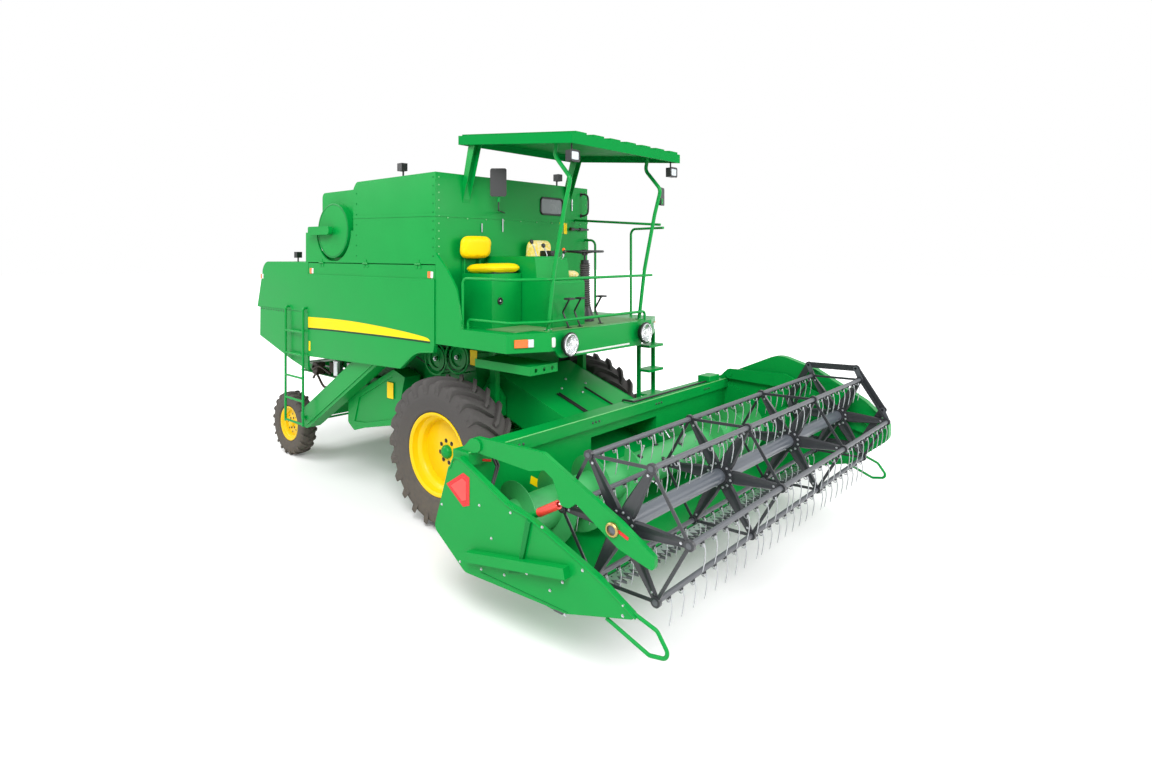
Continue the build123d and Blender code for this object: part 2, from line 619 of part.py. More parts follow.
def right_door():
    """Side service panel with the wheel arch in its lower front corner, hung on three hinges."""
    y = -BODY_HALF
    top = TANK_LOW_Z - HINGE_GAP
    face = [(DOOR_REAR_X, top, 0), (DOOR_FRONT_X, top, 0), (DOOR_FRONT_X, 1800, 0), (-62, 1730, 0),
            (-330, 1700, 330), (-580, 1510, 0), (DOOR_REAR_X, 1440, 0)]
    sheet = plate_y(face, y - DOOR_BULGE, y + DOOR_T)
    sheet -= block(DOOR_REAR_X - 5, DOOR_FRONT_X + 5, y - DOOR_BULGE - 5, y, top - 135, top + 5)
    pocket = plate_y([(DOOR_REAR_X + 60, top - 60, 0), (DOOR_FRONT_X - 60, top - 60, 0),
                      (DOOR_FRONT_X - 60, 1830, 0), (-390, 1760, 0), (-640, 1580, 0),
                      (DOOR_REAR_X + 60, 1510, 0)], y + 14, y + DOOR_T + 5)
    whole = sheet - pocket
    for knuckle in door_hinges():
        whole += knuckle
    return whole


def hood_profile(inset):
    """Upper hood's (x, z) outline, walls inset."""
    return [(HOOD_FRONT_X, HOOD_SEAM_Z, 0), (HOOD_FRONT_X, TANK_LOW_Z - inset, 0),
            (-3560 + inset * 0.5, TANK_LOW_Z - inset, 170), (REAR_END_X + inset, HOOD_SEAM_Z, 0)]


def rear_hood():
    """Rounded upper hood, open below and to the front."""
    shell = plate_y(hood_profile(0), -BODY_HALF, BODY_HALF)
    inside = plate_y(hood_profile(SHEET), -BODY_HALF + SHEET, BODY_HALF - SHEET)
    return shell - inside - Pos(20, 0, -20) * inside


def straw_hood():
    """Lower hood round the straw's way out, open below."""
    outer = sharp([(HOOD_FRONT_X, 1260), (HOOD_FRONT_X, HOOD_SEAM_Z), (-3660, HOOD_SEAM_Z), (-3670, 1590),
                   (-2820, 1350)])
    shell = plate_y(outer, -BODY_HALF, BODY_HALF)
    inside = plate_y(sharp([(HOOD_FRONT_X + 50, 1000), (HOOD_FRONT_X + 50, HOOD_SEAM_Z + 50),
                            (-3660 + SHEET, HOOD_SEAM_Z + 50), (-3670 + SHEET, 1000)]),
                     -BODY_HALF + SHEET, BODY_HALF - SHEET)
    return shell - inside


def screen_plate():
    """Engine deck with side plates; the right one is cut round the rotary screen."""
    y = BODY_HALF
    right = block(SCREEN_PLATE_REAR_X, TANK_REAR_X, -y, -y + SHEET, TANK_LOW_Z, SCREEN_PLATE_TOP_Z)
    right -= across(SCREEN_X - 12, SCREEN_Z, -y - 10, -y + SHEET + 10, SCREEN_R + 45)
    left = block(SCREEN_PLATE_REAR_X, TANK_REAR_X, y - SHEET, y, TANK_LOW_Z, SCREEN_PLATE_TOP_Z - 120)
    deck = block(SCREEN_PLATE_REAR_X, TANK_REAR_X, -y, y, TANK_LOW_Z, TANK_LOW_Z + 20)
    return right + left + deck + fixed_hinges(HINGE_XS[2])


def radiator_housing():
    """Box behind the screen with its air mouth and shaft, and the suction arm at the shaft's end."""
    z0 = TANK_LOW_Z + 20
    face = 65 - BODY_HALF
    box = plate_y([(-2190, z0, 0), (TANK_REAR_X - 4, z0, 0), (TANK_REAR_X - 4, 3440, 0), (-2190, 3440, 60)],
                  face, -720)
    mouth = across(SCREEN_X, SCREEN_Z, face - 5, face + 55, SCREEN_R - 20)
    shaft = across(SCREEN_X, SCREEN_Z, face + 58, face - 112, 14)
    arm = plate_y([(-2255, SCREEN_Z - 49, 20), (SCREEN_X + 40, SCREEN_Z - 49, 40),
                   (SCREEN_X + 40, SCREEN_Z + 49, 40),
                   (-2255, SCREEN_Z + 53, 20)], face - 165, face - 110)
    elbow = block(-2250, -2190, face - 140, face + 60, SCREEN_PLATE_TOP_Z + 6, SCREEN_Z + 50)
    return box - mouth + shaft + arm + elbow


def engine_block():
    return block(-2250, -1520, -600, 700, TANK_LOW_Z + 20, 3080)


def engine_cover():
    """Sheet housing over the engine, with the silencer and its pipe on top."""
    left = BODY_HALF - 140
    outer = block(-2380, TANK_REAR_X - 4, -718, left, TANK_LOW_Z + 20, 3180)
    outer = chamfer(outer.edges().filter_by(Axis.Y).group_by(Axis.Z)[-1], 90)
    inside = block(-2350, TANK_REAR_X - 34, -690, left - 30, TANK_LOW_Z + 10, 3080)
    silencer = rod((-2150, left - 260, 3250), (-1640, left - 260, 3250), 85)
    pipe = tube([(-1700, left - 260, 3250), (-1700, left - 260, 3560), (-1790, left - 260, 3640)], 32, 70)
    return outer - inside + silencer + pipe


def rotary_screen():
    """Drum with a flat face on the right-hand side."""
    y = 38 - BODY_HALF
    drum = turned(sharp([(-55, 0), (-55, SCREEN_R), (25, SCREEN_R), (25, SCREEN_R - 14),
                         (-43, SCREEN_R - 14),
                         (-43, 0)]), SCREEN_X, y, SCREEN_Z)
    hub = across(SCREEN_X, SCREEN_Z, y - 78, y - 8, 34)
    return drum + hub - across(SCREEN_X, SCREEN_Z, y - 90, y + 80, 14 + RUN_FIT)


# ================================================================ platform
def operator_deck():
    """Platform with its deep edge beam, open below, and the splash wing beside the seats."""
    low = DECK_TOP_Z - DECK_DEPTH

    def plan(inset):
        return sharp([(TANK_FRONT_X + inset, -BODY_HALF + inset),
                      (DECK_CORNER_X - inset / 2, -BODY_HALF + inset),
                      (DECK_FRONT_X - inset, -DECK_CORNER_Y + inset / 2),
                      (DECK_FRONT_X - inset, DECK_CORNER_Y - inset / 2),
                      (DECK_CORNER_X - inset / 2, BODY_HALF - inset),
                      (TANK_FRONT_X + inset, BODY_HALF - inset)])

    deck = plate_z(plan(0), low, DECK_TOP_Z) - plate_z(plan(30), low - 5, DECK_TOP_Z - DECK_PLATE)
    wing = plate_y([(TANK_FRONT_X + 1, DECK_TOP_Z - 5, 0), (331, DECK_TOP_Z - 5, 0), (263, 2364, 150),
                    (123, 2550, 0), (TANK_FRONT_X + 1, 2710, 0)], -BODY_HALF, -BODY_HALF + SHEET)
    return deck + wing


def canopy():
    """Ribbed sun roof with a folded skirt."""
    def profile(drop, inset):
        return sharp([(CANOPY_REAR_X + inset, CANOPY_REAR_Z - drop),
                      (CANOPY_FRONT_X - inset, CANOPY_FRONT_Z - drop),
                      (CANOPY_FRONT_X - inset, CANOPY_FRONT_Z - CANOPY_SKIRT - inset),
                      (CANOPY_REAR_X + inset, CANOPY_REAR_Z - CANOPY_SKIRT - inset)])

    roof = plate_y(profile(CANOPY_RIB, 0), -CANOPY_HALF, CANOPY_HALF)
    pitch = 2 * CANOPY_HALF / CANOPY_RIBS
    for number in range(CANOPY_RIBS):
        middle = -CANOPY_HALF + pitch * (number + 0.5)
        roof += plate_y(profile(0, 0), middle - pitch * 0.3, middle + pitch * 0.3)
    return roof - plate_y(profile(CANOPY_RIB + CANOPY_SHEET, CANOPY_SHEET), -CANOPY_HALF + CANOPY_SHEET,
                          CANOPY_HALF - CANOPY_SHEET)


def canopy_under(x):
    """Height of the roof sheet's underside at x."""
    rear, front = CANOPY_REAR_X + CANOPY_SHEET, CANOPY_FRONT_X - CANOPY_SHEET
    share = (x - rear) / (front - rear)
    return CANOPY_REAR_Z + (CANOPY_FRONT_Z - CANOPY_REAR_Z) * share - CANOPY_RIB - CANOPY_SHEET


def canopy_posts():
    """Bent front tubes on foot flanges, and flat rear posts leaning from the tank's front wall."""
    whole = []
    for side in (-1, 1):
        y = side * POST_Y
        foot = rod((984, y, DECK_TOP_Z), (984, y, DECK_TOP_Z + 12), 40)
        whole.append(foot + tube([(982, y, DECK_TOP_Z + 6), (1050, y, 2540), (1170, y, 3120),
                                  (1240, y, 3380),
                                  (1060, y, 3600), (1090, y, 3751.5)], POST_R, 90))
    for y, z in ((-840, 3310), (860, 3400)):
        post = plate_y(sharp([(TANK_FRONT_X, z - 90), (TANK_FRONT_X, z + 120), (60, canopy_under(60)),
                              (150, canopy_under(150))]), y - 50, y + 50)
        whole.append(post - plate_y(sharp([(TANK_FRONT_X + 12, z - 100), (TANK_FRONT_X + 12, z + 110),
                                           (72, canopy_under(72) + 10), (170, canopy_under(170) + 10)]),
                                    y - 44, y + 44))
    return whole


def guard_rails():
    z = DECK_TOP_Z
    y = BODY_HALF - 46
    right = tube([(300, -y, z), (300, -y, 2470), (890, -y, 2470), (1040, -870, 2470), (1040, 940, 2470)],
                 GUARD_R, 60)
    low = tube([(330, -y + 40, z), (330, -y + 40, 2080), (860, -y + 40, 2080), (1020, -830, 2080),
                (1020, 830, 2080), (1020, 830, z)], GUARD_R, 40)
    loop = tube([(TANK_FRONT_X, y, 2870), (110, y, 2870), (110, y, z)], GUARD_R, 70)
    gate = tube([(610, y, z), (610, y, 2990), (1100, y - 130, 2990)], GUARD_R, 70)
    upper = rod((TANK_FRONT_X + 6.5, 1000, 3110), (1120, 985, 3020), GUARD_R)
    return [right, low, loop, gate, upper]


def platform_tubework():
    """Canopy posts and guard rails, welded where they meet."""
    posts, rails = canopy_posts(), guard_rails()
    front = posts[0] + posts[1] + rails[0]
    return Compound(children=[front, posts[2], posts[3]] + rails[1:])


def front_ladder():
    """Steps up to the platform's left front corner, ahead of the wheel."""
    x0, x1 = DECK_CORNER_X - 40, DECK_CORNER_X
    whole = block(x0, x1, 930, 955, 560, DECK_TOP_Z - DECK_PLATE)
    whole += block(x0, x1, BODY_HALF - 25, BODY_HALF, 560, DECK_TOP_Z - DECK_DEPTH)
    for z in (600, 870, 1140, 1410, 1680):
        tread = block(x0, x1 + 110, 945, BODY_HALF - 15, z - 14, z + 14)
        whole += tread - block(x0 + 15, x1 + 95, 975, BODY_HALF - 45, z - 20, z + 6)
    return whole


def ladders():
    return Compound(children=[front_ladder(), rear_ladder()])


def rear_ladder():
    y = -BODY_HALF
    rails = [tube([(x, y, 2030), (x, y - 50, 2030), (x, y - 50, 570)], 16, 30) for x in (-2880, -2450)]
    ladder = rails[0] + rails[1]
    for z in (590, 875, 1160, 1445, 1730):
        ladder += rod((-2880, y - 50, z), (-2450, y - 50, z), 14)
    return ladder


def seat(x0, y, z, back_low, back_high):
    """Cushion and leaning back pad as plain closed pads."""
    cushion = plate_y([(x0 + 60, z - 90, 30), (x0 + 490, z - 90, 30), (x0 + 490, z, 40),
                       (x0 + 60, z - 10, 30)],
                      y - 215, y + 215)
    back = plate_x([(y - 200, back_low, 60), (y + 200, back_low, 60), (y + 170, back_high, 90),
                    (y - 170, back_high, 90)], x0 - 10, x0 + 75)
    return Compound(children=[cushion, back])


def driver_seat():
    return seat(0, STEERING_Y, 2510, 2530, 2850)


def passenger_seat():
    return seat(10, -780, 2600, 2650, 2860)


def seat_boxes():
    """Boxes and back rods that carry the two seats, and the console between them."""
    driver = block(60, 430, 60, 390, DECK_TOP_Z, 2420)
    passenger = block(60, 470, -990, -570, DECK_TOP_Z, 2510)
    for y in (STEERING_Y - 110, STEERING_Y + 110):
        driver += tube([(70, y, 2380), (-22, y, 2380), (-22, y, 2760)], 12, 30)
    for y in (-890, -670):
        passenger += tube([(70, y, 2470), (-12, y, 2470), (-12, y, 2780)], 12, 30)
    console = plate_y([(-35, DECK_TOP_Z, 0), (850, DECK_TOP_Z, 0), (850, 2440, 30), (660, 2440, 0),
                       (630, 2677, 30),
                    (-35, 2677, 0)], -550, -30)
    return Compound(children=[driver, passenger, console])


def steering_column():
    """Bellows column with its foot and three pedals."""
    x, y = STEERING_X, STEERING_Y
    foot = block(x - 60, x + 60, y - 60, y + 60, DECK_TOP_Z, DECK_TOP_Z + 60)
    column = rod((x, y, DECK_TOP_Z + 50), (x, y, STEERING_Z - 90), 42)
    shaft = rod((x, y, STEERING_Z - 95), (x, y, STEERING_Z + 10), 12)
    whole = [foot + column + shaft]
    for px, py in ((960, -440), (970, -270), (940, 120)):
        foot_plate = block(px - 20, px + 20, py - 20, py + 20, DECK_TOP_Z, DECK_TOP_Z + 10)
        whole.append(foot_plate + tube([(px, py, DECK_TOP_Z + 8), (px - 70, py, DECK_TOP_Z + 150),
                                        (px + 10, py, DECK_TOP_Z + 280)], 9, 25))
    return Compound(children=whole)


def steering_wheel():
    x, y, z = STEERING_X, STEERING_Y, STEERING_Z
    ring = Pos(x, y, z) * Torus(STEERING_R - 13, 13)
    hub = rod((x, y, z - 40), (x, y, z + 20), 30)
    whole = ring + hub
    for degrees in (90, 210, 330):
        end = Vector(1, 0, 0).rotate(Axis.Z, degrees) * (STEERING_R - 14)
        whole += rod((x, y, z - 20), (x + end.X, y + end.Y, z), 8)
    return whole - rod((x, y, z - 50), (x, y, z + 12), 12 + RUN_FIT)


def work_lamps():
    """Two headlamps, two roof lamps and three lamps on short posts."""
    whole = []
    for side in (-1, 1):
        x, y, z = DECK_FRONT_X, side * 650, DECK_TOP_Z - 120
        bowl = Solid.make_cone(60, 98, 52, Plane(origin=(x, y, z), z_dir=(1, 0, 0)))
        whole.append(bowl + rod((x + 50, y, z), (x + 72, y, z), 98) - rod((x + 60, y, z), (x + 80, y, z),
                                                                          86))
        roof = block(1290, 1350, side * 860 - 62, side * 860 + 62, 3512, 3608)
        roof -= block(1340, 1355, side * 860 - 50, side * 860 + 50, 3524, 3596)
        whole.append(roof + rod((1310, side * 860, 3560), (1310, side * 860, canopy_under(1320)), 8))
    posts = ((-3105, 260 - BODY_HALF, TANK_LOW_Z, 0, 0), (-560, 15 - BODY_HALF, TANK_TOP_Z, 0, -12),
             (TANK_FRONT_X - 15, 670, TANK_TOP_Z, 16, 0))
    for x, y, z, ahead, aside in posts:
        head = Pos(x + ahead, y + aside, z + 90) * Box(76, 76, 80)
        whole.append(rod((x, y, z), (x, y, z + 60), 10) + head)
    return Compound(children=whole)


def mirrors():
    """Two rear-view mirrors on bent stalks."""
    whole = []
    for points, (x, y, z), wide, high, lean in MIRRORS:
        glass = fillet(Box(26, wide, high).edges().filter_by(Axis.X), 22)
        whole.append(tube(points, 7, 12) + Pos(x, y, z) * Rot(0, 0, lean) * glass)
    return Compound(children=whole)


# ================================================================ feeder and header
def feeder_line(x, top):
    """Height of the feeder's top or bottom line at x."""
    lean = math.radians(FEEDER_SLOPE)
    return PIVOT_Z - (x - PIVOT_X) * math.tan(lean) + (1 if top else -1) * FEEDER_R / math.cos(lean)


def feeder_shape(inset, rear_x, front_x, half):
    """Leaning box with the (x, z) outline of the feeder, inset by a wall."""
    lean = math.radians(FEEDER_SLOPE)
    drop = inset / math.cos(lean)
    return plate_y(sharp([(rear_x, feeder_line(rear_x, True) - drop),
                          (front_x, feeder_line(front_x, True) - drop),
                          (front_x, feeder_line(front_x, False) + drop),
                          (rear_x, feeder_line(rear_x, False) + drop)]), -half, half)


def feeder_house():
    """Hollow channel from the header's back to the threshing body, turning on two trunnions."""
    front = AUGER_X - TROUGH_R - TROUGH_SHEET
    shell = feeder_shape(0, PIVOT_X, front, FEEDER_HALF) + across(PIVOT_X, PIVOT_Z, -FEEDER_HALF,
                                                                  FEEDER_HALF, FEEDER_R)
    way = feeder_shape(FEEDER_WALL, PIVOT_X - 400, front + 60, FEEDER_HALF - FEEDER_WALL)
    beam = block(BEAM_REAR_X, BEAM_FRONT_X, -HEADER_HALF, HEADER_HALF, BEAM_LOW_Z, BEAM_TOP_Z)
    trough = across(AUGER_X, AUGER_Z, -FEEDER_HALF - 10, FEEDER_HALF + 10, TROUGH_R + TROUGH_SHEET)
    shell = shell - way - beam - trough
    for side in (-1, 1):
        shell += across(PIVOT_X, PIVOT_Z, side * (FEEDER_HALF - FEEDER_WALL), side * (CORE_HALF - 5),
                        PIVOT_R)
        shell += plate_y([(780, 960, 0), (LIFT_EYE_X + 40, 910, 0), (LIFT_EYE_X + 60, LIFT_EYE_Z - 50, 40),
                          (LIFT_EYE_X - 60, LIFT_EYE_Z - 50, 40)], side * (FEEDER_HALF - FEEDER_WALL),
                         side * (FEEDER_HALF + 8))
        shell += across(LIFT_EYE_X, LIFT_EYE_Z, side * (FEEDER_HALF - 5), side * (LIFT_Y + 40), 15)
    return shell


def header_frame():
    """Trough round the auger, its back sheet with the feed opening, and the square beam on top."""
    x, z, r, s = AUGER_X, AUGER_Z, TROUGH_R, TROUGH_SHEET
    inner = [(x - r, BEAM_LOW_Z), (x - r, z - r), (x, z - r), (CUTTER_X - 60, CUTTER_Z)]
    outer = [(CUTTER_X - 60, CUTTER_Z - s), (x, z - r - s), (x - r - s, z - r - s), (x - r - s, BEAM_LOW_Z)]
    radii = [0, r * 0.999, 0, 0, 0, 0, r + s, 0]
    sheet = plate_y([(a, b, f) for (a, b), f in zip(inner + outer, radii)], -PANEL_Y, LEFT_PANEL_Y)
    beam = block(BEAM_REAR_X, BEAM_FRONT_X, -PANEL_Y, LEFT_PANEL_Y, BEAM_LOW_Z, BEAM_TOP_Z)
    front = AUGER_X - TROUGH_R
    mouth = feeder_shape(FEEDER_WALL, front - 80, front + 200, FEEDER_HALF - FEEDER_WALL)
    mouth -= block(0, 3000, -1000, 1000, BEAM_LOW_Z - 10, 3000)
    whole = sheet + beam - mouth
    for side in (-1, 1):
        y0, y1 = side * (ARM_OUT_Y + 2), side * (LEFT_PANEL_Y - 2)
        whole += plate_y([(BEAM_REAR_X + 60, BEAM_TOP_Z - 5, 0), (BEAM_FRONT_X, BEAM_TOP_Z - 5, 0),
                          (REEL_PIVOT_X + 50, REEL_PIVOT_Z - 30, 45),
                          (REEL_PIVOT_X + 40, REEL_PIVOT_Z + 50, 45),
                          (REEL_PIVOT_X - 50, REEL_PIVOT_Z + 50, 45)], min(y0, y1), max(y0, y1))
        whole += across(REEL_PIVOT_X, REEL_PIVOT_Z, side * (ARM_IN_Y - 8), side * (ARM_OUT_Y + 4), 25)
    return whole


def right_end():
    """Right end panel with its divider nose and outer strut."""
    panel = plate_y([(1170, 1100, 0), (1290, 1200, 0), (1760, 990, 0), (1990, 940, 0), (2510, 740, 0),
                     (2790, 585, 20), (2270, 420, 0), (1350, 370, 60), (1010, 600, 60)], -PANEL_Y - 40,
                    -PANEL_Y)
    strut = bar_y((1420, 520), (2300, 700), 70, -HEADER_HALF, -PANEL_Y - 40)
    hoop = tube([(2755, -PANEL_Y - 20, 600), (2900, -PANEL_Y - 20, 560), (2990, -PANEL_Y - 20, 430),
                 (2850, -PANEL_Y - 20, 400), (2560, -PANEL_Y - 20, 500)], 12, 40)
    pin = across(REEL_CYL_BASE_X, REEL_CYL_BASE_Z, -PANEL_Y, -REEL_CYL_Y + 30, 12)
    stub = across(AUGER_X, AUGER_Z, -PANEL_Y, 70 - AUGER_HALF, AUGER_SHAFT_R)
    return panel + strut + hoop + pin + stub


def left_end():
    """Left end panel with the large rounded drive shield outside it."""
    panel = plate_y([(1170, 1100, 0), (1290, 1200, 0), (1760, 990, 0), (1990, 940, 0), (2510, 740, 0),
                     (2790, 585, 20), (2270, 420, 0), (1350, 370, 60), (1010, 600, 60)],
                    LEFT_PANEL_Y, LEFT_PANEL_Y + 20)
    shield = plate_y([(950, 1090, 60), (1120, 1190, 0), (1510, 1370, 200), (1920, 1570, 260),
                      (2310, 1450, 200),
                      (2790, 1180, 150), (3000, 980, 90), (3000, 820, 120), (2660, 510, 150),
                      (2310, 400, 0),
                      (1350, 380, 60), (1010, 610, 60)], LEFT_PANEL_Y + 20, HEADER_HALF)
    hoop = tube([(2755, LEFT_PANEL_Y + 40, 620), (2900, LEFT_PANEL_Y + 40, 560),
                 (2990, LEFT_PANEL_Y + 40, 430),
                 (2850, LEFT_PANEL_Y + 40, 400), (2560, LEFT_PANEL_Y + 40, 520)], 12, 40)
    pin = across(REEL_CYL_BASE_X, REEL_CYL_BASE_Z, REEL_CYL_Y - 30, LEFT_PANEL_Y, 12)
    stub = across(AUGER_X, AUGER_Z, AUGER_HALF - 70, LEFT_PANEL_Y, AUGER_SHAFT_R)
    return panel + shield + hoop + pin + stub


def cutterbar():
    """Bar with a row of pointed guard fingers along the header's front edge."""
    x, z = CUTTER_X - 60, CUTTER_Z
    bar = block(x, x + 70, -PANEL_Y, LEFT_PANEL_Y, z - 25, z - 5)
    count = int((PANEL_Y + LEFT_PANEL_Y - 60) / GUARD_PITCH)
    first = (LEFT_PANEL_Y - PANEL_Y - (count - 1) * GUARD_PITCH) / 2
    fingers = []
    for number in range(count):
        y = first + number * GUARD_PITCH
        tip = x + 70 + GUARD_LENGTH
        fingers.append(plate_z(sharp([(x + 40, y - 14), (x + 85, y - 19), (x + 105, y - 9), (tip, y - 2),
                                      (tip, y + 2), (x + 105, y + 9), (x + 85, y + 19), (x + 40, y + 14)]),
                               z - 12, z + 10))
    return bar.fuse(*fingers).solid()


def auger_flight(start, end, hand, turn):
    """Screw blade between two places along Y, as flat facets: the angle grows by one turn per pitch."""
    steps = round(abs(end - start) / FLIGHT_PITCH * FLIGHT_STEPS)
    foot = AUGER_TUBE_R - 12
    rows = []
    for step in range(steps + 1):
        y = start + (end - start) * step / steps
        degrees = turn + hand * 360 * step / FLIGHT_STEPS
        ends = []
        for radius, wide in ((foot, FLIGHT_T), (AUGER_R, FLIGHT_T)):
            x, z = polar(AUGER_X, AUGER_Z, radius, degrees)
            ends.append((Vector(x, y - wide / 2, z), Vector(x, y + wide / 2, z)))
        rows.append([ends[0][0], ends[0][1], ends[1][1], ends[1][0]])
    return faceted(rows, False)


def header_auger():
    """Cross auger: a tube with a flight from each end and retracting fingers in the middle."""
    whole = across(AUGER_X, AUGER_Z, -AUGER_HALF, AUGER_HALF, AUGER_TUBE_R)
    for side in (-1, 1):
        whole -= across(AUGER_X, AUGER_Z, side * (AUGER_HALF - 75), side * (AUGER_HALF + 5),
                        AUGER_SHAFT_R + RUN_FIT)
    end = AUGER_HALF - 12
    flights = [auger_flight(-end, -FEED_HALF, 1, 0), auger_flight(end, FEED_HALF, -1, 180)]
    fingers = []
    for number in range(8):
        y = -FEED_HALF + 90 + (2 * FEED_HALF - 180) * number / 7
        for degrees in (number * 70, number * 70 + 180):
            tip = polar(AUGER_X, AUGER_Z, AUGER_R - 12, degrees)
            foot = polar(AUGER_X, AUGER_Z, AUGER_TUBE_R - 12, degrees)
            fingers.append(rod((foot[0], y, foot[1]), (tip[0], y, tip[1]), FINGER_R))
    return whole.fuse(*flights, *fingers).solid()


def reel_arms():
    """Two arms pivoted on the header's back corners, with plates for the reel's bearings."""
    whole = []
    for side in (-1, 1):
        y0, y1 = side * ARM_IN_Y, side * ARM_OUT_Y
        arm = plate_y([(REEL_PIVOT_X - 60, REEL_PIVOT_Z - 50, 50), (1900, 1220, 0), (2030, 1255, 0),
                       (2600, 915, 0), (2850, 850, 30), (2850, 940, 30), (2620, 1080, 100),
                       (2020, 1370, 60),
                       (REEL_PIVOT_X - 60, REEL_PIVOT_Z + 60, 55)], min(y0, y1), max(y0, y1))
        arm -= across(REEL_PIVOT_X, REEL_PIVOT_Z, y0 - 50, y1 + 50, 25 + RUN_FIT)
        arm -= across(REEL_X, REEL_Z, y0 - 50, y1 + 50, 30 + RUN_FIT)
        for lug_y in (ARM_IN_Y, ARM_OUT_Y - 5):
            lug = plate_y([(REEL_CYL_EYE_X - 110, 1240, 0), (REEL_CYL_EYE_X - 30, REEL_CYL_EYE_Z - 34, 30),
                           (REEL_CYL_EYE_X + 34, REEL_CYL_EYE_Z - 34, 30), (REEL_CYL_EYE_X + 110, 1120, 0)],
                          min(side * lug_y, side * (lug_y + 5)), max(side * lug_y, side * (lug_y + 5)))
            arm += lug
        arm += across(REEL_CYL_EYE_X, REEL_CYL_EYE_Z, y0, y1, 10)
        whole.append(arm)
    return Compound(children=whole)


def bat_place(number):
    return polar(REEL_X, REEL_Z, REEL_R, REEL_PHASE + 360 * number / REEL_BATS)


def spider_arm(number, y):
    """Plate arm that narrows from the hub towards a bat's bearing."""
    degrees = REEL_PHASE + 360 * number / REEL_BATS
    corners = []
    for radius, wide in ((40, -1), (150, -1), (REEL_R, -0.38), (REEL_R, 0.38), (150, 1), (40, 1)):
        turn = math.degrees(math.atan(ARM_HALF * wide / radius)) if radius > 40 else wide * 30
        corners.append(polar(REEL_X, REEL_Z, radius, degrees + turn))
    return plate_y(sharp(corners), y - 5, y + 5)


def reel_core():
    """Central tube with four six-armed spiders, braced round their tips."""
    whole = across(REEL_X, REEL_Z, -REEL_HALF, REEL_HALF, REEL_TUBE_R)
    for side in (-1, 1):
        whole += across(REEL_X, REEL_Z, side * (REEL_HALF - 5), side * (ARM_OUT_Y + 8), 30)
    for y in SPIDER_Y:
        whole += across(REEL_X, REEL_Z, y - 10, y + 10, 105)
        for number in range(REEL_BATS):
            tip, after = bat_place(number), bat_place((number + 1) % REEL_BATS)
            whole += spider_arm(number, y)
            whole += bar_y(tip, after, 22, y - 4, y + 4)
            whole += across(*tip, y - 12, y + 12, 32)
    for number in range(REEL_BATS):
        whole -= across(*bat_place(number), -REEL_HALF - 50, REEL_HALF + 50, BAT_R + RUN_FIT)
    return whole


def reel_bat(number):
    """Bat tube with its crank at the left end and a row of hanging spring tines, each with its coil."""
    x, z = bat_place(number)
    whole = across(x, z, 5 - REEL_HALF, REEL_HALF - 10, BAT_R)
    whole += bar_y((x, z), (x + CRANK_X, z + CRANK_Z), 44, REEL_HALF - 20, REEL_HALF - 10)
    whole += across(x + CRANK_X, z + CRANK_Z, REEL_HALF - 20, REEL_HALF + 12, 11)
    count = int((2 * REEL_HALF - 130) / TINE_PITCH)
    cx, cz = x + 6, z - BAT_R - COIL_R + 5
    knee, tip = (cx + COIL_R + 8, cz - TINE_LENGTH * 0.45), (cx + COIL_R - 6, cz - TINE_LENGTH + COIL_R)
    tines = []
    for tine in range(count):
        y = -(count - 1) * TINE_PITCH / 2 + tine * TINE_PITCH
        if min(abs(y - s) for s in SPIDER_Y) < 34:
            y += 60
        coil = plate_y(sharp([polar(cx, cz, COIL_R, 30 + 60 * n) for n in range(6)]), y - 11, y + 11)
        upper = bar_y((cx + COIL_R - 4, cz), knee, 7, y - 3.5, y + 3.5)
        tines += [coil, upper, bar_y((knee[0] - 0.5, knee[1] + 4), tip, 7, y - 3.5, y + 3.5)]
    return whole.fuse(*tines).solid()


def reel_ring():
    """Eccentric six-sided ring that keeps every bat upright."""
    whole = None
    cx, cz = REEL_X + CRANK_X, REEL_Z + CRANK_Z
    tips = [polar(cx, cz, REEL_R, REEL_PHASE + 60 * n) for n in range(6)]
    y0, y1 = REEL_HALF - 6, REEL_HALF + 14
    for n in range(6):
        side = bar_y(tips[n], tips[(n + 1) % 6], 60, y0, y1)
        whole = side if whole is None else whole + side
        whole += across(*tips[n], y0, y1, 34)
    for n in range(6):
        whole -= across(*tips[n], y0 - 10, y1 + 10, 11 + RUN_FIT)
    return whole


# ================================================================ cylinders
def header_hoses():
    """Oil hoses clipped along the feeder's top and the beam: two to the right end, one to the left."""
    top = BEAM_TOP_Z + HOSE_R + 2
    back = BEAM_REAR_X - HOSE_R - 2
    whole = []
    for y, drop in ((-250, 30), (-285, 55)):
        end = 130 - PANEL_Y + drop
        whole.append(tube([(700, y, feeder_line(700, True) + HOSE_R + 1),
                           (back - 25, y, feeder_line(back - 25, True) + HOSE_R + 1),
                           (back, y - 60, BEAM_TOP_Z - drop), (back, end, BEAM_TOP_Z - drop),
                           (back, end, top),
                           (BEAM_FRONT_X + 50, end, top), (BEAM_FRONT_X + 130, end, BEAM_LOW_Z),
                           (BEAM_FRONT_X + 210, HOSE_R - PANEL_Y, BEAM_LOW_Z - 100 - drop)], HOSE_R, 14))
    whole.append(tube([(700, 180, feeder_line(700, True) + HOSE_R + 1),
                       (back - 25, 180, feeder_line(back - 25, True) + HOSE_R + 1), (back - 4, 180, top),
                       (BEAM_FRONT_X - 60, 180, top), (BEAM_FRONT_X - 60, 1900, top)], HOSE_R, 14))
    return Compound(children=whole)


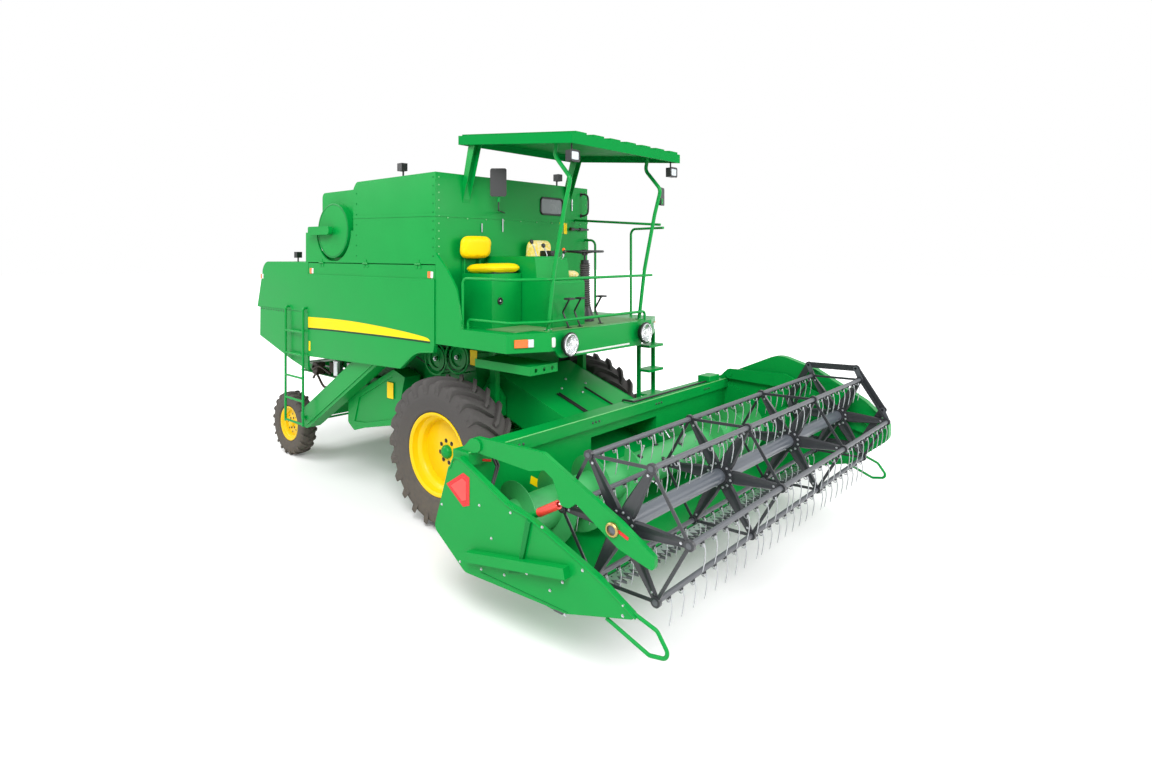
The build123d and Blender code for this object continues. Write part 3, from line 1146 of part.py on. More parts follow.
def cylinder_pair(base, eye, y, barrel_r, rod_r, closed, eye_bore, eye_half, pin_r):
    """Barrel and rod between two (x, z) points, on both sides of the machine: (barrels, rods)."""
    along = (Vector(*eye) - Vector(*base))
    length = along.length
    u = along.normalized()

    def point(distance, side):
        return (base[0] + u.X * distance, side * y, base[1] + u.Y * distance)

    barrels, rods = [], []
    for side in (-1, 1):
        barrel = rod(point(0, side), point(closed, side), barrel_r)
        barrel += across(base[0], base[1], side * y - 24, side * y + 24, barrel_r)
        barrel -= across(base[0], base[1], side * y - 40, side * y + 40, pin_r + RUN_FIT)
        barrel -= rod(point(barrel_r + 20, side), point(closed + 10, side), rod_r + RUN_FIT)
        barrels.append(barrel)
        piston = rod(point(closed * 0.35, side), point(length - eye_bore - 4, side), rod_r)
        piston += across(eye[0], eye[1], side * y - eye_half, side * y + eye_half, eye_bore + 14)
        piston -= across(eye[0], eye[1], side * y - 40, side * y + 40, eye_bore)
        rods.append(piston)
    return Compound(children=barrels), Compound(children=rods)


def lift_cylinders():
    return cylinder_pair((LIFT_BASE_X, LIFT_BASE_Z), (LIFT_EYE_X, LIFT_EYE_Z), LIFT_Y, 38, 24, 560, 26,
                         22, 18)


def reel_cylinders():
    return cylinder_pair((REEL_CYL_BASE_X, REEL_CYL_BASE_Z), (REEL_CYL_EYE_X, REEL_CYL_EYE_Z), REEL_CYL_Y,
                         24, 11,
                         400, 21, 11, 12)


# ================================================================ unloading auger
def auger_turret():
    """Fixed elbow on the tank's left wall."""
    x, y = UNLOAD_X, UNLOAD_Y
    box = plate_y([(x - 150, 2700, 60), (x + 150, 2700, 60), (x + 150, 2900, 0), (x - 150, 2900, 0)],
                  BODY_HALF, y + 120)
    neck = rod((x, y, 2890), (x, y, 2950), UNLOAD_R + 10)
    return box + neck


def unloading_auger():
    """Elbow and long tube folded back along the machine, with a spout turned down at its end."""
    x, y, z, r = UNLOAD_X, UNLOAD_Y, UNLOAD_Z, UNLOAD_R
    elbow = rod((x, y, 2951), (x, y, z), r) + Pos(x, y, z) * Sphere(r)
    long = rod((x, y, z), (UNLOAD_REAR_X, y, z), r)
    spout = rod((UNLOAD_REAR_X + 20, y, z), (UNLOAD_REAR_X - 130, y, z - 220), r + 6)
    return elbow + long + spout


# ================================================================ all pieces
def all_pieces():
    """Every piece by name, in the front axle's frame."""
    pieces = {}
    pieces["chassis_frame"] = chassis_frame()
    pieces["rear_axle"] = rear_axle()
    knuckle = left_knuckle()
    pieces["knuckle_left"], pieces["knuckle_right"] = knuckle, flipped(knuckle)
    pieces["tie_rod"] = tie_rod()
    left_wheels = {
        "front_tyre": at_wheel(front_tyre(), 0, FRONT_WHEEL_Y, FRONT_TYRE_R),
        "front_rim": at_wheel(front_rim(), 0, FRONT_WHEEL_Y, FRONT_TYRE_R),
        "rear_tyre": at_wheel(rear_tyre(), REAR_AXLE_X, REAR_WHEEL_Y, REAR_TYRE_R),
        "rear_rim": at_wheel(rear_rim(), REAR_AXLE_X, REAR_WHEEL_Y, REAR_TYRE_R),
    }
    for name, shape in left_wheels.items():
        pieces[name + "_left"], pieces[name + "_right"] = shape, flipped(shape)
    pieces["threshing_body"] = threshing_body()
    elevator_right = right_elevator()
    pieces["elevator_right"], pieces["elevator_left"] = elevator_right, flipped(elevator_right)
    pieces["drive_belts"] = drive_belts()
    pieces["grain_tank"] = grain_tank()
    pieces["tank_window"] = tank_window()
    door = right_door()
    pieces["side_door_right"], pieces["side_door_left"] = door, flipped(door)
    pieces["rear_hood"] = rear_hood()
    pieces["straw_hood"] = straw_hood()
    pieces["screen_plate"] = screen_plate()
    pieces["radiator_housing"] = radiator_housing()
    pieces["engine_block"] = engine_block()
    pieces["engine_cover"] = engine_cover()
    pieces["rotary_screen"] = rotary_screen()
    pieces["operator_deck"] = operator_deck()
    pieces["canopy"] = canopy()
    pieces["platform_tubework"] = platform_tubework()
    pieces["ladders"] = ladders()
    pieces["driver_seat"] = driver_seat()
    pieces["passenger_seat"] = passenger_seat()
    pieces["seat_boxes"] = seat_boxes()
    pieces["steering_column"] = steering_column()
    pieces["steering_wheel"] = steering_wheel()
    pieces["work_lamps"] = work_lamps()
    pieces["mirrors"] = mirrors()
    pieces["feeder_house"] = feeder_house()
    pieces["header_frame"] = header_frame()
    pieces["header_end_right"] = right_end()
    pieces["header_end_left"] = left_end()
    pieces["cutterbar"] = cutterbar()
    pieces["header_auger"] = header_auger()
    pieces["reel_arms"] = reel_arms()
    pieces["reel_core"] = reel_core()
    pieces["reel_ring"] = reel_ring()
    for number in range(REEL_BATS):
        pieces[f"reel_bat_{number + 1}"] = reel_bat(number)
    pieces["header_hoses"] = header_hoses()
    pieces["lift_barrels"], pieces["lift_rods"] = lift_cylinders()
    pieces["reel_barrels"], pieces["reel_rods"] = reel_cylinders()
    pieces["unloading_auger"] = unloading_auger()
    return pieces


def export_node(name, shape):
    """Write one piece, moved so that the origin is under the middle of the machine."""
    export_step(Pos(-ORIGIN_X, 0, 0) * shape, f"parts/{name}.step")


os.makedirs("parts", exist_ok=True)
for piece_name, piece_shape in all_pieces().items():
    export_node(piece_name, piece_shape)
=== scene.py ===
"""Looks of a combine harvester with a tined reel header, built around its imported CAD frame.

Sizes are in metres. Places are stated from the front axle (X = 0 over it, Y = 0 on the centre line, Z = 0 on
the ground) and moved along X to the frame's own origin when a piece is finished.
"""
import logging
import math
from dataclasses import dataclass, field
from enum import Enum
from typing import Iterable, Sequence

import bmesh
import bpy
import numpy as np
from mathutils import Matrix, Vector


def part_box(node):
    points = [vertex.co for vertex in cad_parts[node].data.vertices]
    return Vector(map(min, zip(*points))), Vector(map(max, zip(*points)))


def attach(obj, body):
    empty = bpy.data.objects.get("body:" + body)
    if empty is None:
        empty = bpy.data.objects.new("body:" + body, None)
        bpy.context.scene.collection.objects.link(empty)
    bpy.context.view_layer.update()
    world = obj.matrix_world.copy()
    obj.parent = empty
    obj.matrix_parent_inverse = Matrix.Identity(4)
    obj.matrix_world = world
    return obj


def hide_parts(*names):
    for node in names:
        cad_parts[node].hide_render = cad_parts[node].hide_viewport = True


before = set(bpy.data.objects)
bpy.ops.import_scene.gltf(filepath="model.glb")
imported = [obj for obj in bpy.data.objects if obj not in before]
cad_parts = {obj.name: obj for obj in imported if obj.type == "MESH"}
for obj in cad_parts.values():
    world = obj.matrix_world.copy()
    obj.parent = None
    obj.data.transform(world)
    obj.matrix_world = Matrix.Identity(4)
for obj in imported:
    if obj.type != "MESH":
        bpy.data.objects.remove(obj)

LOG = logging.getLogger("harvester")
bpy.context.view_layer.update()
WHEEL_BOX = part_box("front_tyre_left")
AXLE_X = (WHEEL_BOX[0].x + WHEEL_BOX[1].x) / 2

Array = np.ndarray
Pair = tuple[float, float]
Triple = tuple[float, float, float]
Places = Sequence[Sequence[float]]

ORIGIN = (0.0, 0.0, 0.0)
ALONG_X = (1.0, 0.0, 0.0)
ALONG_Y = (0.0, 1.0, 0.0)
UPWARD = (0.0, 0.0, 1.0)
SINK = 0.0005                # how deep a thin piece sits in the face that carries it
WELD = 2e-5                  # points closer than this are one
COAT_ROUGHNESS = 0.08


def linear(red: int, green: int, blue: int) -> Triple:
    """A screen colour as the shader's linear values.

    Each is ((c + 0.055) / 1.055) ^ 2.4, or c / 12.92 where it is dark.

    Args:
        red: 0 to 255.
        green: 0 to 255.
        blue: 0 to 255.

    Returns:
        The three linear values.
    """
    def one(value: int) -> float:
        """One channel."""
        share = value / 255
        return share / 12.92 if share <= 0.04045 else ((share + 0.055) / 1.055) ** 2.4
    return one(red), one(green), one(blue)


# ---------------------------------------------------------------- finishes
class Groups:
    """Shader node groups that several finishes use, each built once.

    Attributes:
        made: the groups built so far.
        speckle: noise scale of the dust.
        rough_drift: how far roughness drifts.
        dust_rough: what full dust adds to roughness.
        film_range: noise levels between which the film goes from clear to milky.
    """

    made: dict[str, bpy.types.NodeTree] = {}
    speckle = 22.0
    rough_drift = 0.18
    dust_rough = 0.4
    film_range = (0.22, 0.42)

    @classmethod
    def get(cls, name: str) -> bpy.types.NodeTree:
        """The named group, built on first use."""
        if name not in cls.made:
            cls.made[name] = getattr(cls, "_" + name)()
        return cls.made[name]

    @staticmethod
    def _start(name: str, inputs: dict[str, object], outputs: Iterable[str]) -> tuple:
        """An empty group with its sockets.

        Args:
            name: the group's name.
            inputs: socket name to default; a tuple makes a colour socket.
            outputs: names, where one starting with "Colour" makes a colour socket.

        Returns:
            The tree, its input node and its output node.
        """
        tree = bpy.data.node_groups.new(name, "ShaderNodeTree")
        for label, value in inputs.items():
            kind = "NodeSocketColor" if isinstance(value, tuple) else "NodeSocketFloat"
            socket = tree.interface.new_socket(label, in_out="INPUT", socket_type=kind)
            socket.default_value = (*value, 1) if isinstance(value, tuple) else value
        for label in outputs:
            kind = "NodeSocketColor" if label.startswith("Colour") else "NodeSocketFloat"
            tree.interface.new_socket(label, in_out="OUTPUT", socket_type=kind)
        return tree, tree.nodes.new("NodeGroupInput"), tree.nodes.new("NodeGroupOutput")

    @staticmethod
    def _feed(tree: bpy.types.NodeTree, socket: bpy.types.NodeSocket, value: object) -> None:
        """Puts a number on an input, or links another socket to it.

        Args:
            tree: the group's tree.
            socket: the input.
            value: a number or an output socket.
        """
        if isinstance(value, (int, float)):
            socket.default_value = value
        else:
            tree.links.new(value, socket)

    @classmethod
    def _maths(cls, tree: bpy.types.NodeTree, kind: str, first: object, second: object = 0.0) -> object:
        """One Math node.

        Args:
            tree: the group's tree.
            kind: its operation.
            first: a number or a socket.
            second: a number or a socket.

        Returns:
            Its output socket.
        """
        node = tree.nodes.new("ShaderNodeMath")
        node.operation = kind
        for slot, value in zip(node.inputs, (first, second)):
            cls._feed(tree, slot, value)
        return node.outputs[0]

    @classmethod
    def _noise(cls, tree: bpy.types.NodeTree, scale: object, detail: float) -> object:
        """Noise on Object coordinates.

        Args:
            tree: the group's tree.
            scale: a number or a socket.
            detail: how many finer layers it has.

        Returns:
            Output socket from 0 to 1.
        """
        place = tree.nodes.new("ShaderNodeTexCoord")
        noise = tree.nodes.new("ShaderNodeTexNoise")
        noise.inputs["Detail"].default_value = detail
        tree.links.new(place.outputs["Object"], noise.inputs["Vector"])
        cls._feed(tree, noise.inputs["Scale"], scale)
        return noise.outputs["Fac"]

    @staticmethod
    def _blend(tree: bpy.types.NodeTree, share: object, first: object, second: object) -> object:
        """Colour between two others.

        Args:
            tree: the group's tree.
            share: socket, 0 for the first colour and 1 for the second.
            first: colour socket.
            second: colour socket.

        Returns:
            Its output socket.
        """
        node = tree.nodes.new("ShaderNodeMix")
        node.data_type = "RGBA"
        for label, value in (("Factor", share), ("A", first), ("B", second)):
            tree.links.new(value, node.inputs[label])
        return node.outputs["Result"]

    @classmethod
    def _worn_coat(cls) -> bpy.types.NodeTree:
        """Colour and roughness that drift a little over a surface, with dust low on the machine."""
        tree, given, out = cls._start("worn_coat", {
            "Colour": (0.5, 0.5, 0.5), "Dust Colour": linear(150, 134, 106), "Roughness": 0.4,
            "Mottling": 0.05, "Dust": 0.0, "Dust Top": 1.2, "Size": 3.0}, ("Colour", "Roughness"))
        gives = given.outputs
        centred = cls._maths(tree, "SUBTRACT", cls._noise(tree, gives["Size"], 3.0), 0.5)
        shade = cls._maths(tree, "ADD", cls._maths(tree, "MULTIPLY", centred, gives["Mottling"]), 1.0)
        bright = tree.nodes.new("ShaderNodeVectorMath")
        bright.operation = "SCALE"
        tree.links.new(gives["Colour"], bright.inputs[0])
        tree.links.new(shade, bright.inputs["Scale"])
        place = tree.nodes.new("ShaderNodeTexCoord")
        parts = tree.nodes.new("ShaderNodeSeparateXYZ")
        tree.links.new(place.outputs["Object"], parts.inputs[0])
        low = tree.nodes.new("ShaderNodeMapRange")
        tree.links.new(parts.outputs["Z"], low.inputs["Value"])
        tree.links.new(gives["Dust Top"], low.inputs["From Min"])
        low.inputs["From Max"].default_value = 0.0
        fine = cls._noise(tree, cls.speckle, 6.0)
        patchy = cls._maths(tree, "MULTIPLY", low.outputs["Result"], fine)
        dust = cls._maths(tree, "MULTIPLY", patchy, gives["Dust"])
        colour = cls._blend(tree, dust, bright.outputs["Vector"], gives["Dust Colour"])
        tree.links.new(colour, out.inputs["Colour"])
        drift = cls._maths(tree, "MULTIPLY", centred, cls.rough_drift)
        rough = cls._maths(tree, "ADD", gives["Roughness"], drift)
        dusty = cls._maths(tree, "ADD", rough, cls._maths(tree, "MULTIPLY", dust, cls.dust_rough))
        tree.links.new(dusty, out.inputs["Roughness"])
        return tree

    @classmethod
    def _creased_film(cls) -> bpy.types.NodeTree:
        """Milky patches and crease lines over a colour, as thin packing film looks."""
        tree, given, out = cls._start("creased_film", {
            "Colour": (0.8, 0.7, 0.1), "Film Colour": linear(250, 250, 238), "Share": 0.5}, ("Colour",))
        gives = given.outputs
        broad = cls._noise(tree, 6.0, 5.0)
        fine = cls._noise(tree, 38.0, 8.0)
        both = cls._maths(tree, "MULTIPLY", cls._maths(tree, "POWER", broad, 0.7), fine)
        amount = tree.nodes.new("ShaderNodeMapRange")
        tree.links.new(both, amount.inputs["Value"])
        for label, level in zip(("From Min", "From Max"), cls.film_range):
            amount.inputs[label].default_value = level
        share = cls._maths(tree, "MULTIPLY", amount.outputs["Result"], gives["Share"])
        colour = cls._blend(tree, share, gives["Colour"], gives["Film Colour"])
        tree.links.new(colour, out.inputs["Colour"])
        return tree

    @classmethod
    def _grain(cls) -> bpy.types.NodeTree:
        """Fine bump height: noise of one size, with a coarser noise under it."""
        tree, given, out = cls._start("grain", {"Size": 200.0, "Depth": 0.0005}, ("Height",))
        fine = cls._noise(tree, given.outputs["Size"], 4.0)
        coarse = cls._noise(tree, cls._maths(tree, "MULTIPLY", given.outputs["Size"], 0.12), 2.0)
        both = cls._maths(tree, "ADD", fine, coarse)
        tree.links.new(cls._maths(tree, "MULTIPLY", both, given.outputs["Depth"]), out.inputs["Height"])
        return tree


@dataclass(frozen=True)
class Finish:
    """One finish: colour, gloss, wear and fine surface.

    Attributes:
        name: a maker's plain words.
        colour: linear colour.
        roughness: 0 mirror to 1 matt.
        metallic: 1 for bare metal.
        coat: weight of the clear coat.
        mottling: share by which colour drifts.
        dust: share of dust near the ground.
        grain: bump depth in metres, 0 for none.
        grain_size: how fine the bump is.
        glass: share of light let through.
        glow: strength of emission, painted light where the part is no lit lamp.
        slot: the record's material slot; not used.
        film: share of creased milky film over the colour.
        gleam: specular level, 0.5 for ordinary paint.
    """

    name: str
    colour: Triple
    roughness: float = 0.4
    metallic: float = 0.0
    coat: float = 0.0
    mottling: float = 0.06
    dust: float = 0.0
    grain: float = 0.0
    grain_size: float = 200.0
    glass: float = 0.0
    glow: float = 0.0
    slot: str = "green_paint"
    film: float = 0.0
    gleam: float = 0.5

    @staticmethod
    def grouped(tree: bpy.types.NodeTree, name: str, values: dict[str, object]) -> bpy.types.Node:
        """A shared group placed in a material.

        Args:
            tree: the material's tree.
            name: the group's name.
            values: input name to value.

        Returns:
            The group's node.
        """
        node = tree.nodes.new("ShaderNodeGroup")
        node.node_tree = Groups.get(name)
        for label, value in values.items():
            node.inputs[label].default_value = value
        return node

    def material(self) -> bpy.types.Material:
        """The finish as a material, built on first use."""
        made = bpy.data.materials.get(self.name)
        if made:
            return made
        made = bpy.data.materials.new(self.name)
        made.use_nodes = True
        tree = made.node_tree
        shader = tree.nodes["Principled BSDF"]
        colour = (*self.colour, 1)
        plain = {"Metallic": self.metallic, "Coat Weight": self.coat, "Coat Roughness": COAT_ROUGHNESS,
                 "Specular IOR Level": self.gleam}
        if self.glass:
            plain |= {"Base Color": colour, "Roughness": self.roughness, "Transmission Weight": self.glass}
        for label, value in plain.items():
            shader.inputs[label].default_value = value
        if self.glass:
            return made
        coat = self.grouped(tree, "worn_coat", {"Colour": colour, "Roughness": self.roughness,
                                                "Mottling": self.mottling, "Dust": self.dust})
        shown = coat.outputs["Colour"]
        if self.film:
            film = self.grouped(tree, "creased_film", {"Share": self.film})
            tree.links.new(shown, film.inputs["Colour"])
            shown = film.outputs["Colour"]
        tree.links.new(shown, shader.inputs["Base Color"])
        tree.links.new(coat.outputs["Roughness"], shader.inputs["Roughness"])
        if self.glow:
            tree.links.new(coat.outputs["Colour"], shader.inputs["Emission Color"])
            shader.inputs["Emission Strength"].default_value = self.glow
        if self.grain:
            grain = self.grouped(tree, "grain", {"Size": self.grain_size, "Depth": self.grain})
            bump = tree.nodes.new("ShaderNodeBump")
            bump.inputs["Distance"].default_value = 1.0
            tree.links.new(grain.outputs["Height"], bump.inputs["Height"])
            tree.links.new(bump.outputs["Normal"], shader.inputs["Normal"])
        return made


GREEN = Finish("gloss_green_enamel", linear(0, 146, 60), 0.36, coat=0.05, mottling=0.12, gleam=0.2)
# Bolt heads paler than the green paint, as a painted highlight.
BOLT_GREEN = Finish("pale_bolt_green", linear(120, 190, 130), 0.4, metallic=0.3)
# Canopy green: the body's green made darker as painted shade, and matt.
CANOPY_PAINTED_SHADE = Finish("flat_green_enamel", linear(0, 133, 56), 0.6, mottling=0.12, gleam=0.05)
# Darker copy of the body green: painted shade on seams, folds, the panel strut, the screen's rolled edge and
# the tank's side bolts.
GREEN_PAINTED_SHADE = Finish("shaded_green_enamel", linear(0, 122, 52), 0.42, mottling=0.12, gleam=0.2)
# Auger green: lighter than the body green as a painted highlight, with random tone drift.
AUGER_GREEN = Finish("worn_green_enamel", linear(62, 164, 92), 0.45, coat=0.1, mottling=0.25)
# Bright green for the beam's front edge strip: a painted highlight, with random tone drift.
BEAM_HIGHLIGHT_GREEN = Finish("worn_bright_green", linear(110, 196, 116), 0.35, coat=0.3, mottling=0.3)
FLOOR_STEEL = Finish("trodden_green", linear(104, 150, 96), 0.6, mottling=0.3, dust=1.2, gleam=0.3)
YELLOW = Finish("yellow_enamel", linear(242, 200, 0), 0.36, coat=0.1, dust=0.1, slot="yellow_paint",
                gleam=0.25)
TRIM_YELLOW = Finish("yellow_film", linear(252, 214, 0), 0.42, mottling=0.02, slot="yellow_paint", gleam=0.25)
TRIM_DARK = Finish("dark_film", linear(6, 50, 26), 0.42, mottling=0.02, gleam=0.25)
REEL_GREY = Finish("charcoal_enamel", linear(40, 42, 46), 0.36, coat=0.1, mottling=0.12, slot="black_paint")
BAT_GREY = Finish("bat_grey_enamel", linear(78, 81, 86), 0.40, coat=0.1, mottling=0.12, slot="grey_steel")
TINE_STEEL = Finish("spring_steel", linear(176, 178, 182), 0.34, metallic=0.7, slot="grey_steel")
BRIGHT_STEEL = Finish("zinc_plate", linear(196, 198, 202), 0.30, metallic=0.9, slot="grey_steel")
TUBE_GREY = Finish("slate_enamel", linear(84, 90, 98), 0.34, coat=0.2, mottling=0.15, slot="black_paint")
BRASS = Finish("dull_brass", linear(176, 150, 92), 0.4, metallic=0.8, slot="grey_steel")
SOOT = Finish("sooty_iron", linear(66, 52, 44), 0.6, mottling=0.4, slot="black_paint")
DARK_STEEL = Finish("dark_bolt_steel", linear(88, 92, 94), 0.38, metallic=0.8, slot="grey_steel")
CHROME = Finish("hard_chrome", linear(226, 228, 230), 0.12, metallic=1.0, slot="chrome")
BLACK = Finish("satin_black", linear(26, 27, 29), 0.42, slot="black_paint")
RUBBER = Finish("tyre_rubber", linear(70, 67, 66), 0.78, mottling=0.25, dust=0.35, grain=0.0012,
                grain_size=120.0, slot="tyre")
BELT = Finish("belt_rubber", linear(30, 30, 31), 0.6, slot="black_rubber")
HOSE = Finish("hose_rubber", linear(24, 24, 25), 0.5, grain=0.0002, grain_size=400.0, slot="black_rubber")
VINYL = Finish("yellow_seat_vinyl", linear(250, 212, 0), 0.46, grain=0.0004, grain_size=300.0,
               slot="yellow_vinyl", gleam=0.25)
FILMED_VINYL = Finish("filmed_seat_vinyl", linear(255, 222, 40), 0.28, coat=0.6, grain=0.0012,
                      grain_size=60.0, slot="yellow_vinyl", film=0.55)
PANE = Finish("dull_pane", linear(120, 126, 128), 0.25, coat=0.3, slot="window_glass")
CLEAR_GLASS = Finish("clear_glass", (0.96, 0.97, 0.97), 0.02, glass=1.0, slot="window_glass")
ENGINE = Finish("cast_green", linear(20, 96, 44), 0.6, grain=0.001, grain_size=80.0)
# Red reflectors get a faint glow: painted light, as they are no lamps.
RED_LENS = Finish("red_lens", linear(205, 20, 22), 0.22, coat=0.3, glow=0.05, slot="black_paint", gleam=0.3)
PALE_RED = Finish("pale_red_film", linear(232, 70, 66), 0.3, slot="black_paint")
STOP_RED = Finish("red_enamel", linear(226, 60, 48), 0.4, coat=0.3, slot="black_paint")
# Orange reflectors, unlit indicator lenses and the knob get a glow: painted light, as they are no lit lamps.
ORANGE_LENS = Finish("orange_lens", linear(250, 104, 16), 0.22, coat=0.6, glow=0.15, slot="yellow_paint")
PALE_LENS = Finish("pale_lens", linear(206, 214, 218), 0.12, coat=1.0, slot="chrome")
WHITE_STRIP = Finish("white_film", linear(226, 230, 226), 0.4, slot="chrome")

NODE_FINISHES = {
    REEL_GREY: ("reel_ring",),
    CANOPY_PAINTED_SHADE: ("canopy",),
    YELLOW: ("front_rim_left", "front_rim_right", "rear_rim_left", "rear_rim_right"),
    RUBBER: ("front_tyre_left", "front_tyre_right", "rear_tyre_left", "rear_tyre_right"),
    VINYL: ("driver_seat", "passenger_seat"),
    BLACK: ("steering_wheel", "steering_column", "work_lamps", "mirrors"),
    CHROME: ("lift_rods", "reel_rods"),
    PANE: ("tank_window",),
    ENGINE: ("engine_block",),
    DARK_STEEL: ("cutterbar",),
    HOSE: ("header_hoses",),
}


def dress_nodes() -> None:
    """Puts a finish on every CAD node, green where no other is named."""
    for name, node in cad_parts.items():
        finish = next((f for f, names in NODE_FINISHES.items() if name in names), GREEN)
        made = finish.material()
        if not node.material_slots:
            node.data.materials.append(made)
        for slot in node.material_slots:
            slot.link = "OBJECT"
            slot.material = made
        LOG.info("node %s: %s", name, finish.name)


# ---------------------------------------------------------------- shapes
def unit(rows: Array) -> Array:
    """Each row divided by its own length."""
    return rows / np.maximum(np.linalg.norm(rows, axis=-1, keepdims=True), 1e-12)


def axes_of(normal: Sequence[float]) -> tuple[Array, Array, Array]:
    """A right-handed set: the unit normal, a level direction across it, and the one that completes them."""
    axis = unit(np.asarray(normal, float))
    level = unit(np.cross((0, 0, 1) if abs(axis[2]) < 0.9 else (1, 0, 0), axis))
    return axis, level, np.cross(axis, level)


@dataclass
class Shape:
    """A surface: its points, and arrays of faces with as many columns as corners."""

    points: Array
    faces: list[Array]

    @classmethod
    def grid(cls, rows: Array, loop_rows: bool = False, loop_columns: bool = False,
             caps: bool = False) -> "Shape":
        """Quads between neighbours of a grid of points.

        Args:
            rows: points as (rows, columns, 3).
            loop_rows: the last row joins the first.
            loop_columns: each row's end joins its start.
            caps: the first and last rows are closed by one face each.

        Returns:
            The surface, point number = row * columns + column.
        """
        many, wide = rows.shape[:2]
        near = np.arange(many if loop_rows else many - 1)[:, None]
        side = np.arange(wide if loop_columns else wide - 1)[None, :]
        far, along = (near + 1) % many, (side + 1) % wide
        corners = (near * wide + side, far * wide + side, far * wide + along, near * wide + along)
        faces = [np.stack(np.broadcast_arrays(*corners), -1).reshape(-1, 4)]
        if caps:
            faces += [np.arange(wide)[None, ::-1], np.arange(wide)[None, :] + (many - 1) * wide]
        return cls(rows.reshape(-1, 3), faces)

    @classmethod
    def join(cls, shapes: Iterable["Shape"]) -> "Shape":
        """Several surfaces as one."""
        points, faces, start = [], [], 0
        for shape in shapes:
            points.append(shape.points)
            faces += [face + start for face in shape.faces]
            start += len(shape.points)
        return cls(np.concatenate(points), faces)

    def moved(self, offset: Sequence[float]) -> "Shape":
        """The surface carried by an offset."""
        return Shape(self.points + np.asarray(offset, float), self.faces)

    def mirrored(self) -> "Shape":
        """The surface on the machine's other side (Y becomes -Y)."""
        return Shape(self.points * (1, -1, 1), [face[:, ::-1] for face in self.faces])

    def copies(self, places: Array, turns: Array | None = None) -> "Shape":
        """A copy at each place, point' = turn @ point + place.

        Args:
            places: (n, 3) offsets.
            turns: (n, 3, 3) rotations, none for no turning.

        Returns:
            All the copies as one surface.
        """
        places = np.asarray(places, float)
        points = self.points[None] if turns is None else np.einsum("nij,kj->nki", turns, self.points)
        points = (points + places[:, None]).reshape(-1, 3)
        shift = (np.arange(len(places)) * len(self.points))[:, None, None]
        return Shape(points, [(face[None] + shift).reshape(-1, face.shape[1]) for face in self.faces])


def about_y(degrees: Array) -> Array:
    """Turns about Y: each matrix has the rows (c, 0, -s), (0, 1, 0), (s, 0, c).

    Args:
        degrees: how far each carries +X towards +Z.

    Returns:
        (n, 3, 3) rotations.
    """
    angle = np.radians(np.atleast_1d(degrees))
    turns = np.zeros((len(angle), 3, 3))
    turns[:, 0, 0] = turns[:, 2, 2] = np.cos(angle)
    turns[:, 2, 0] = np.sin(angle)
    turns[:, 0, 2] = -turns[:, 2, 0]
    turns[:, 1, 1] = 1
    return turns


def ring(radius: float, steps: int, tall: float | None = None) -> Array:
    """Corners of a round or oval section: (radius * cos a, tall * sin a)."""
    angle = np.linspace(0, 2 * np.pi, steps, endpoint=False)
    return np.stack([radius * np.cos(angle), (tall or radius) * np.sin(angle)], -1)


def around_y(radius: float, angle: Array, y: float = 0.0) -> Array:
    """Places on a circle about Y: (radius * cos a, y, radius * sin a)."""
    return np.stack([radius * np.cos(angle), np.full(len(angle), y), radius * np.sin(angle)], -1)


def rounded(low: Pair, high: Pair, radius: float, steps: int = 5) -> Array:
    """Rectangle outline with quarter-round corners.

    point = corner centre + radius * (cos a, sin a), with a over a quarter turn at each corner.

    Args:
        low: corner with the lowest values.
        high: corner with the highest values.
        radius: of the corners.
        steps: points in each corner.

    Returns:
        (4 * steps, 2) points.
    """
    quarter = np.linspace(0, np.pi / 2, steps)
    angle = (quarter[None] + np.arange(4)[:, None] * np.pi / 2).ravel()
    centre_a = np.repeat([high[0] - radius, low[0] + radius, low[0] + radius, high[0] - radius], steps)
    centre_b = np.repeat([high[1] - radius, high[1] - radius, low[1] + radius, low[1] + radius], steps)
    return np.stack([centre_a + radius * np.cos(angle), centre_b + radius * np.sin(angle)], -1)


def smooth_line(points: Places, each: int = 8) -> Array:
    """Curve through the points: between two of them the cubic whose slopes there are half the step past them.

    Args:
        points: (n, k) points in order.
        each: samples from one point to the next.

    Returns:
        The sampled points.
    """
    line = np.asarray(points, float)
    padded = np.concatenate([2 * line[:1] - line[1:2], line, 2 * line[-1:] - line[-2:-1]])
    a, b, c, d = padded[:-3], padded[1:-2], padded[2:-1], padded[3:]
    t = np.linspace(0, 1, each, endpoint=False)[:, None, None]
    bends = 0.5 * (2 * b + (c - a) * t + (2 * a - 5 * b + 4 * c - d) * t ** 2
                   + (3 * b - a - 3 * c + d) * t ** 3)
    run = np.swapaxes(bends, 0, 1).reshape(-1, line.shape[1])
    return np.concatenate([run, line[-1:]])


def lathe(profile: Places, centre: Sequence[float], normal: Sequence[float], steps: int = 48,
          loop: bool = False) -> Shape:
    """Profile of (distance along the axis, radius) turned about it.

    point = centre + distance * axis + radius * (cos a * level + sin a * third).

    Args:
        profile: the corners, ends on the axis or joined end to end.
        centre: where distance is 0.
        normal: the axis.
        steps: facets in a turn.
        loop: the last corner joins the first.

    Returns:
        The turned surface.
    """
    along, radius = np.asarray(profile, float).T
    axis, level, third = axes_of(normal)
    angle = np.linspace(0, 2 * np.pi, steps, endpoint=False)
    spoke = np.cos(angle)[:, None] * level + np.sin(angle)[:, None] * third
    rows = np.asarray(centre, float) + along[:, None, None] * axis + radius[:, None, None] * spoke[None]
    return Shape.grid(rows, loop_rows=loop, loop_columns=True)


def drum(low: float, high: float, radius: float, centre: Sequence[float], normal: Sequence[float],
         steps: int) -> Shape:
    """Closed cylinder between two distances along its axis."""
    return lathe([(low, 0), (low, radius), (high, radius), (high, 0)], centre, normal, steps)


def sleeve(reach: Pair, inner: float, outer: float, centre: Sequence[float], normal: Sequence[float],
           steps: int) -> Shape:
    """Tube between two distances along its axis, with square ends."""
    low, high = reach
    return lathe([(low, inner), (low, outer), (high, outer), (high, inner)], centre, normal, steps, loop=True)


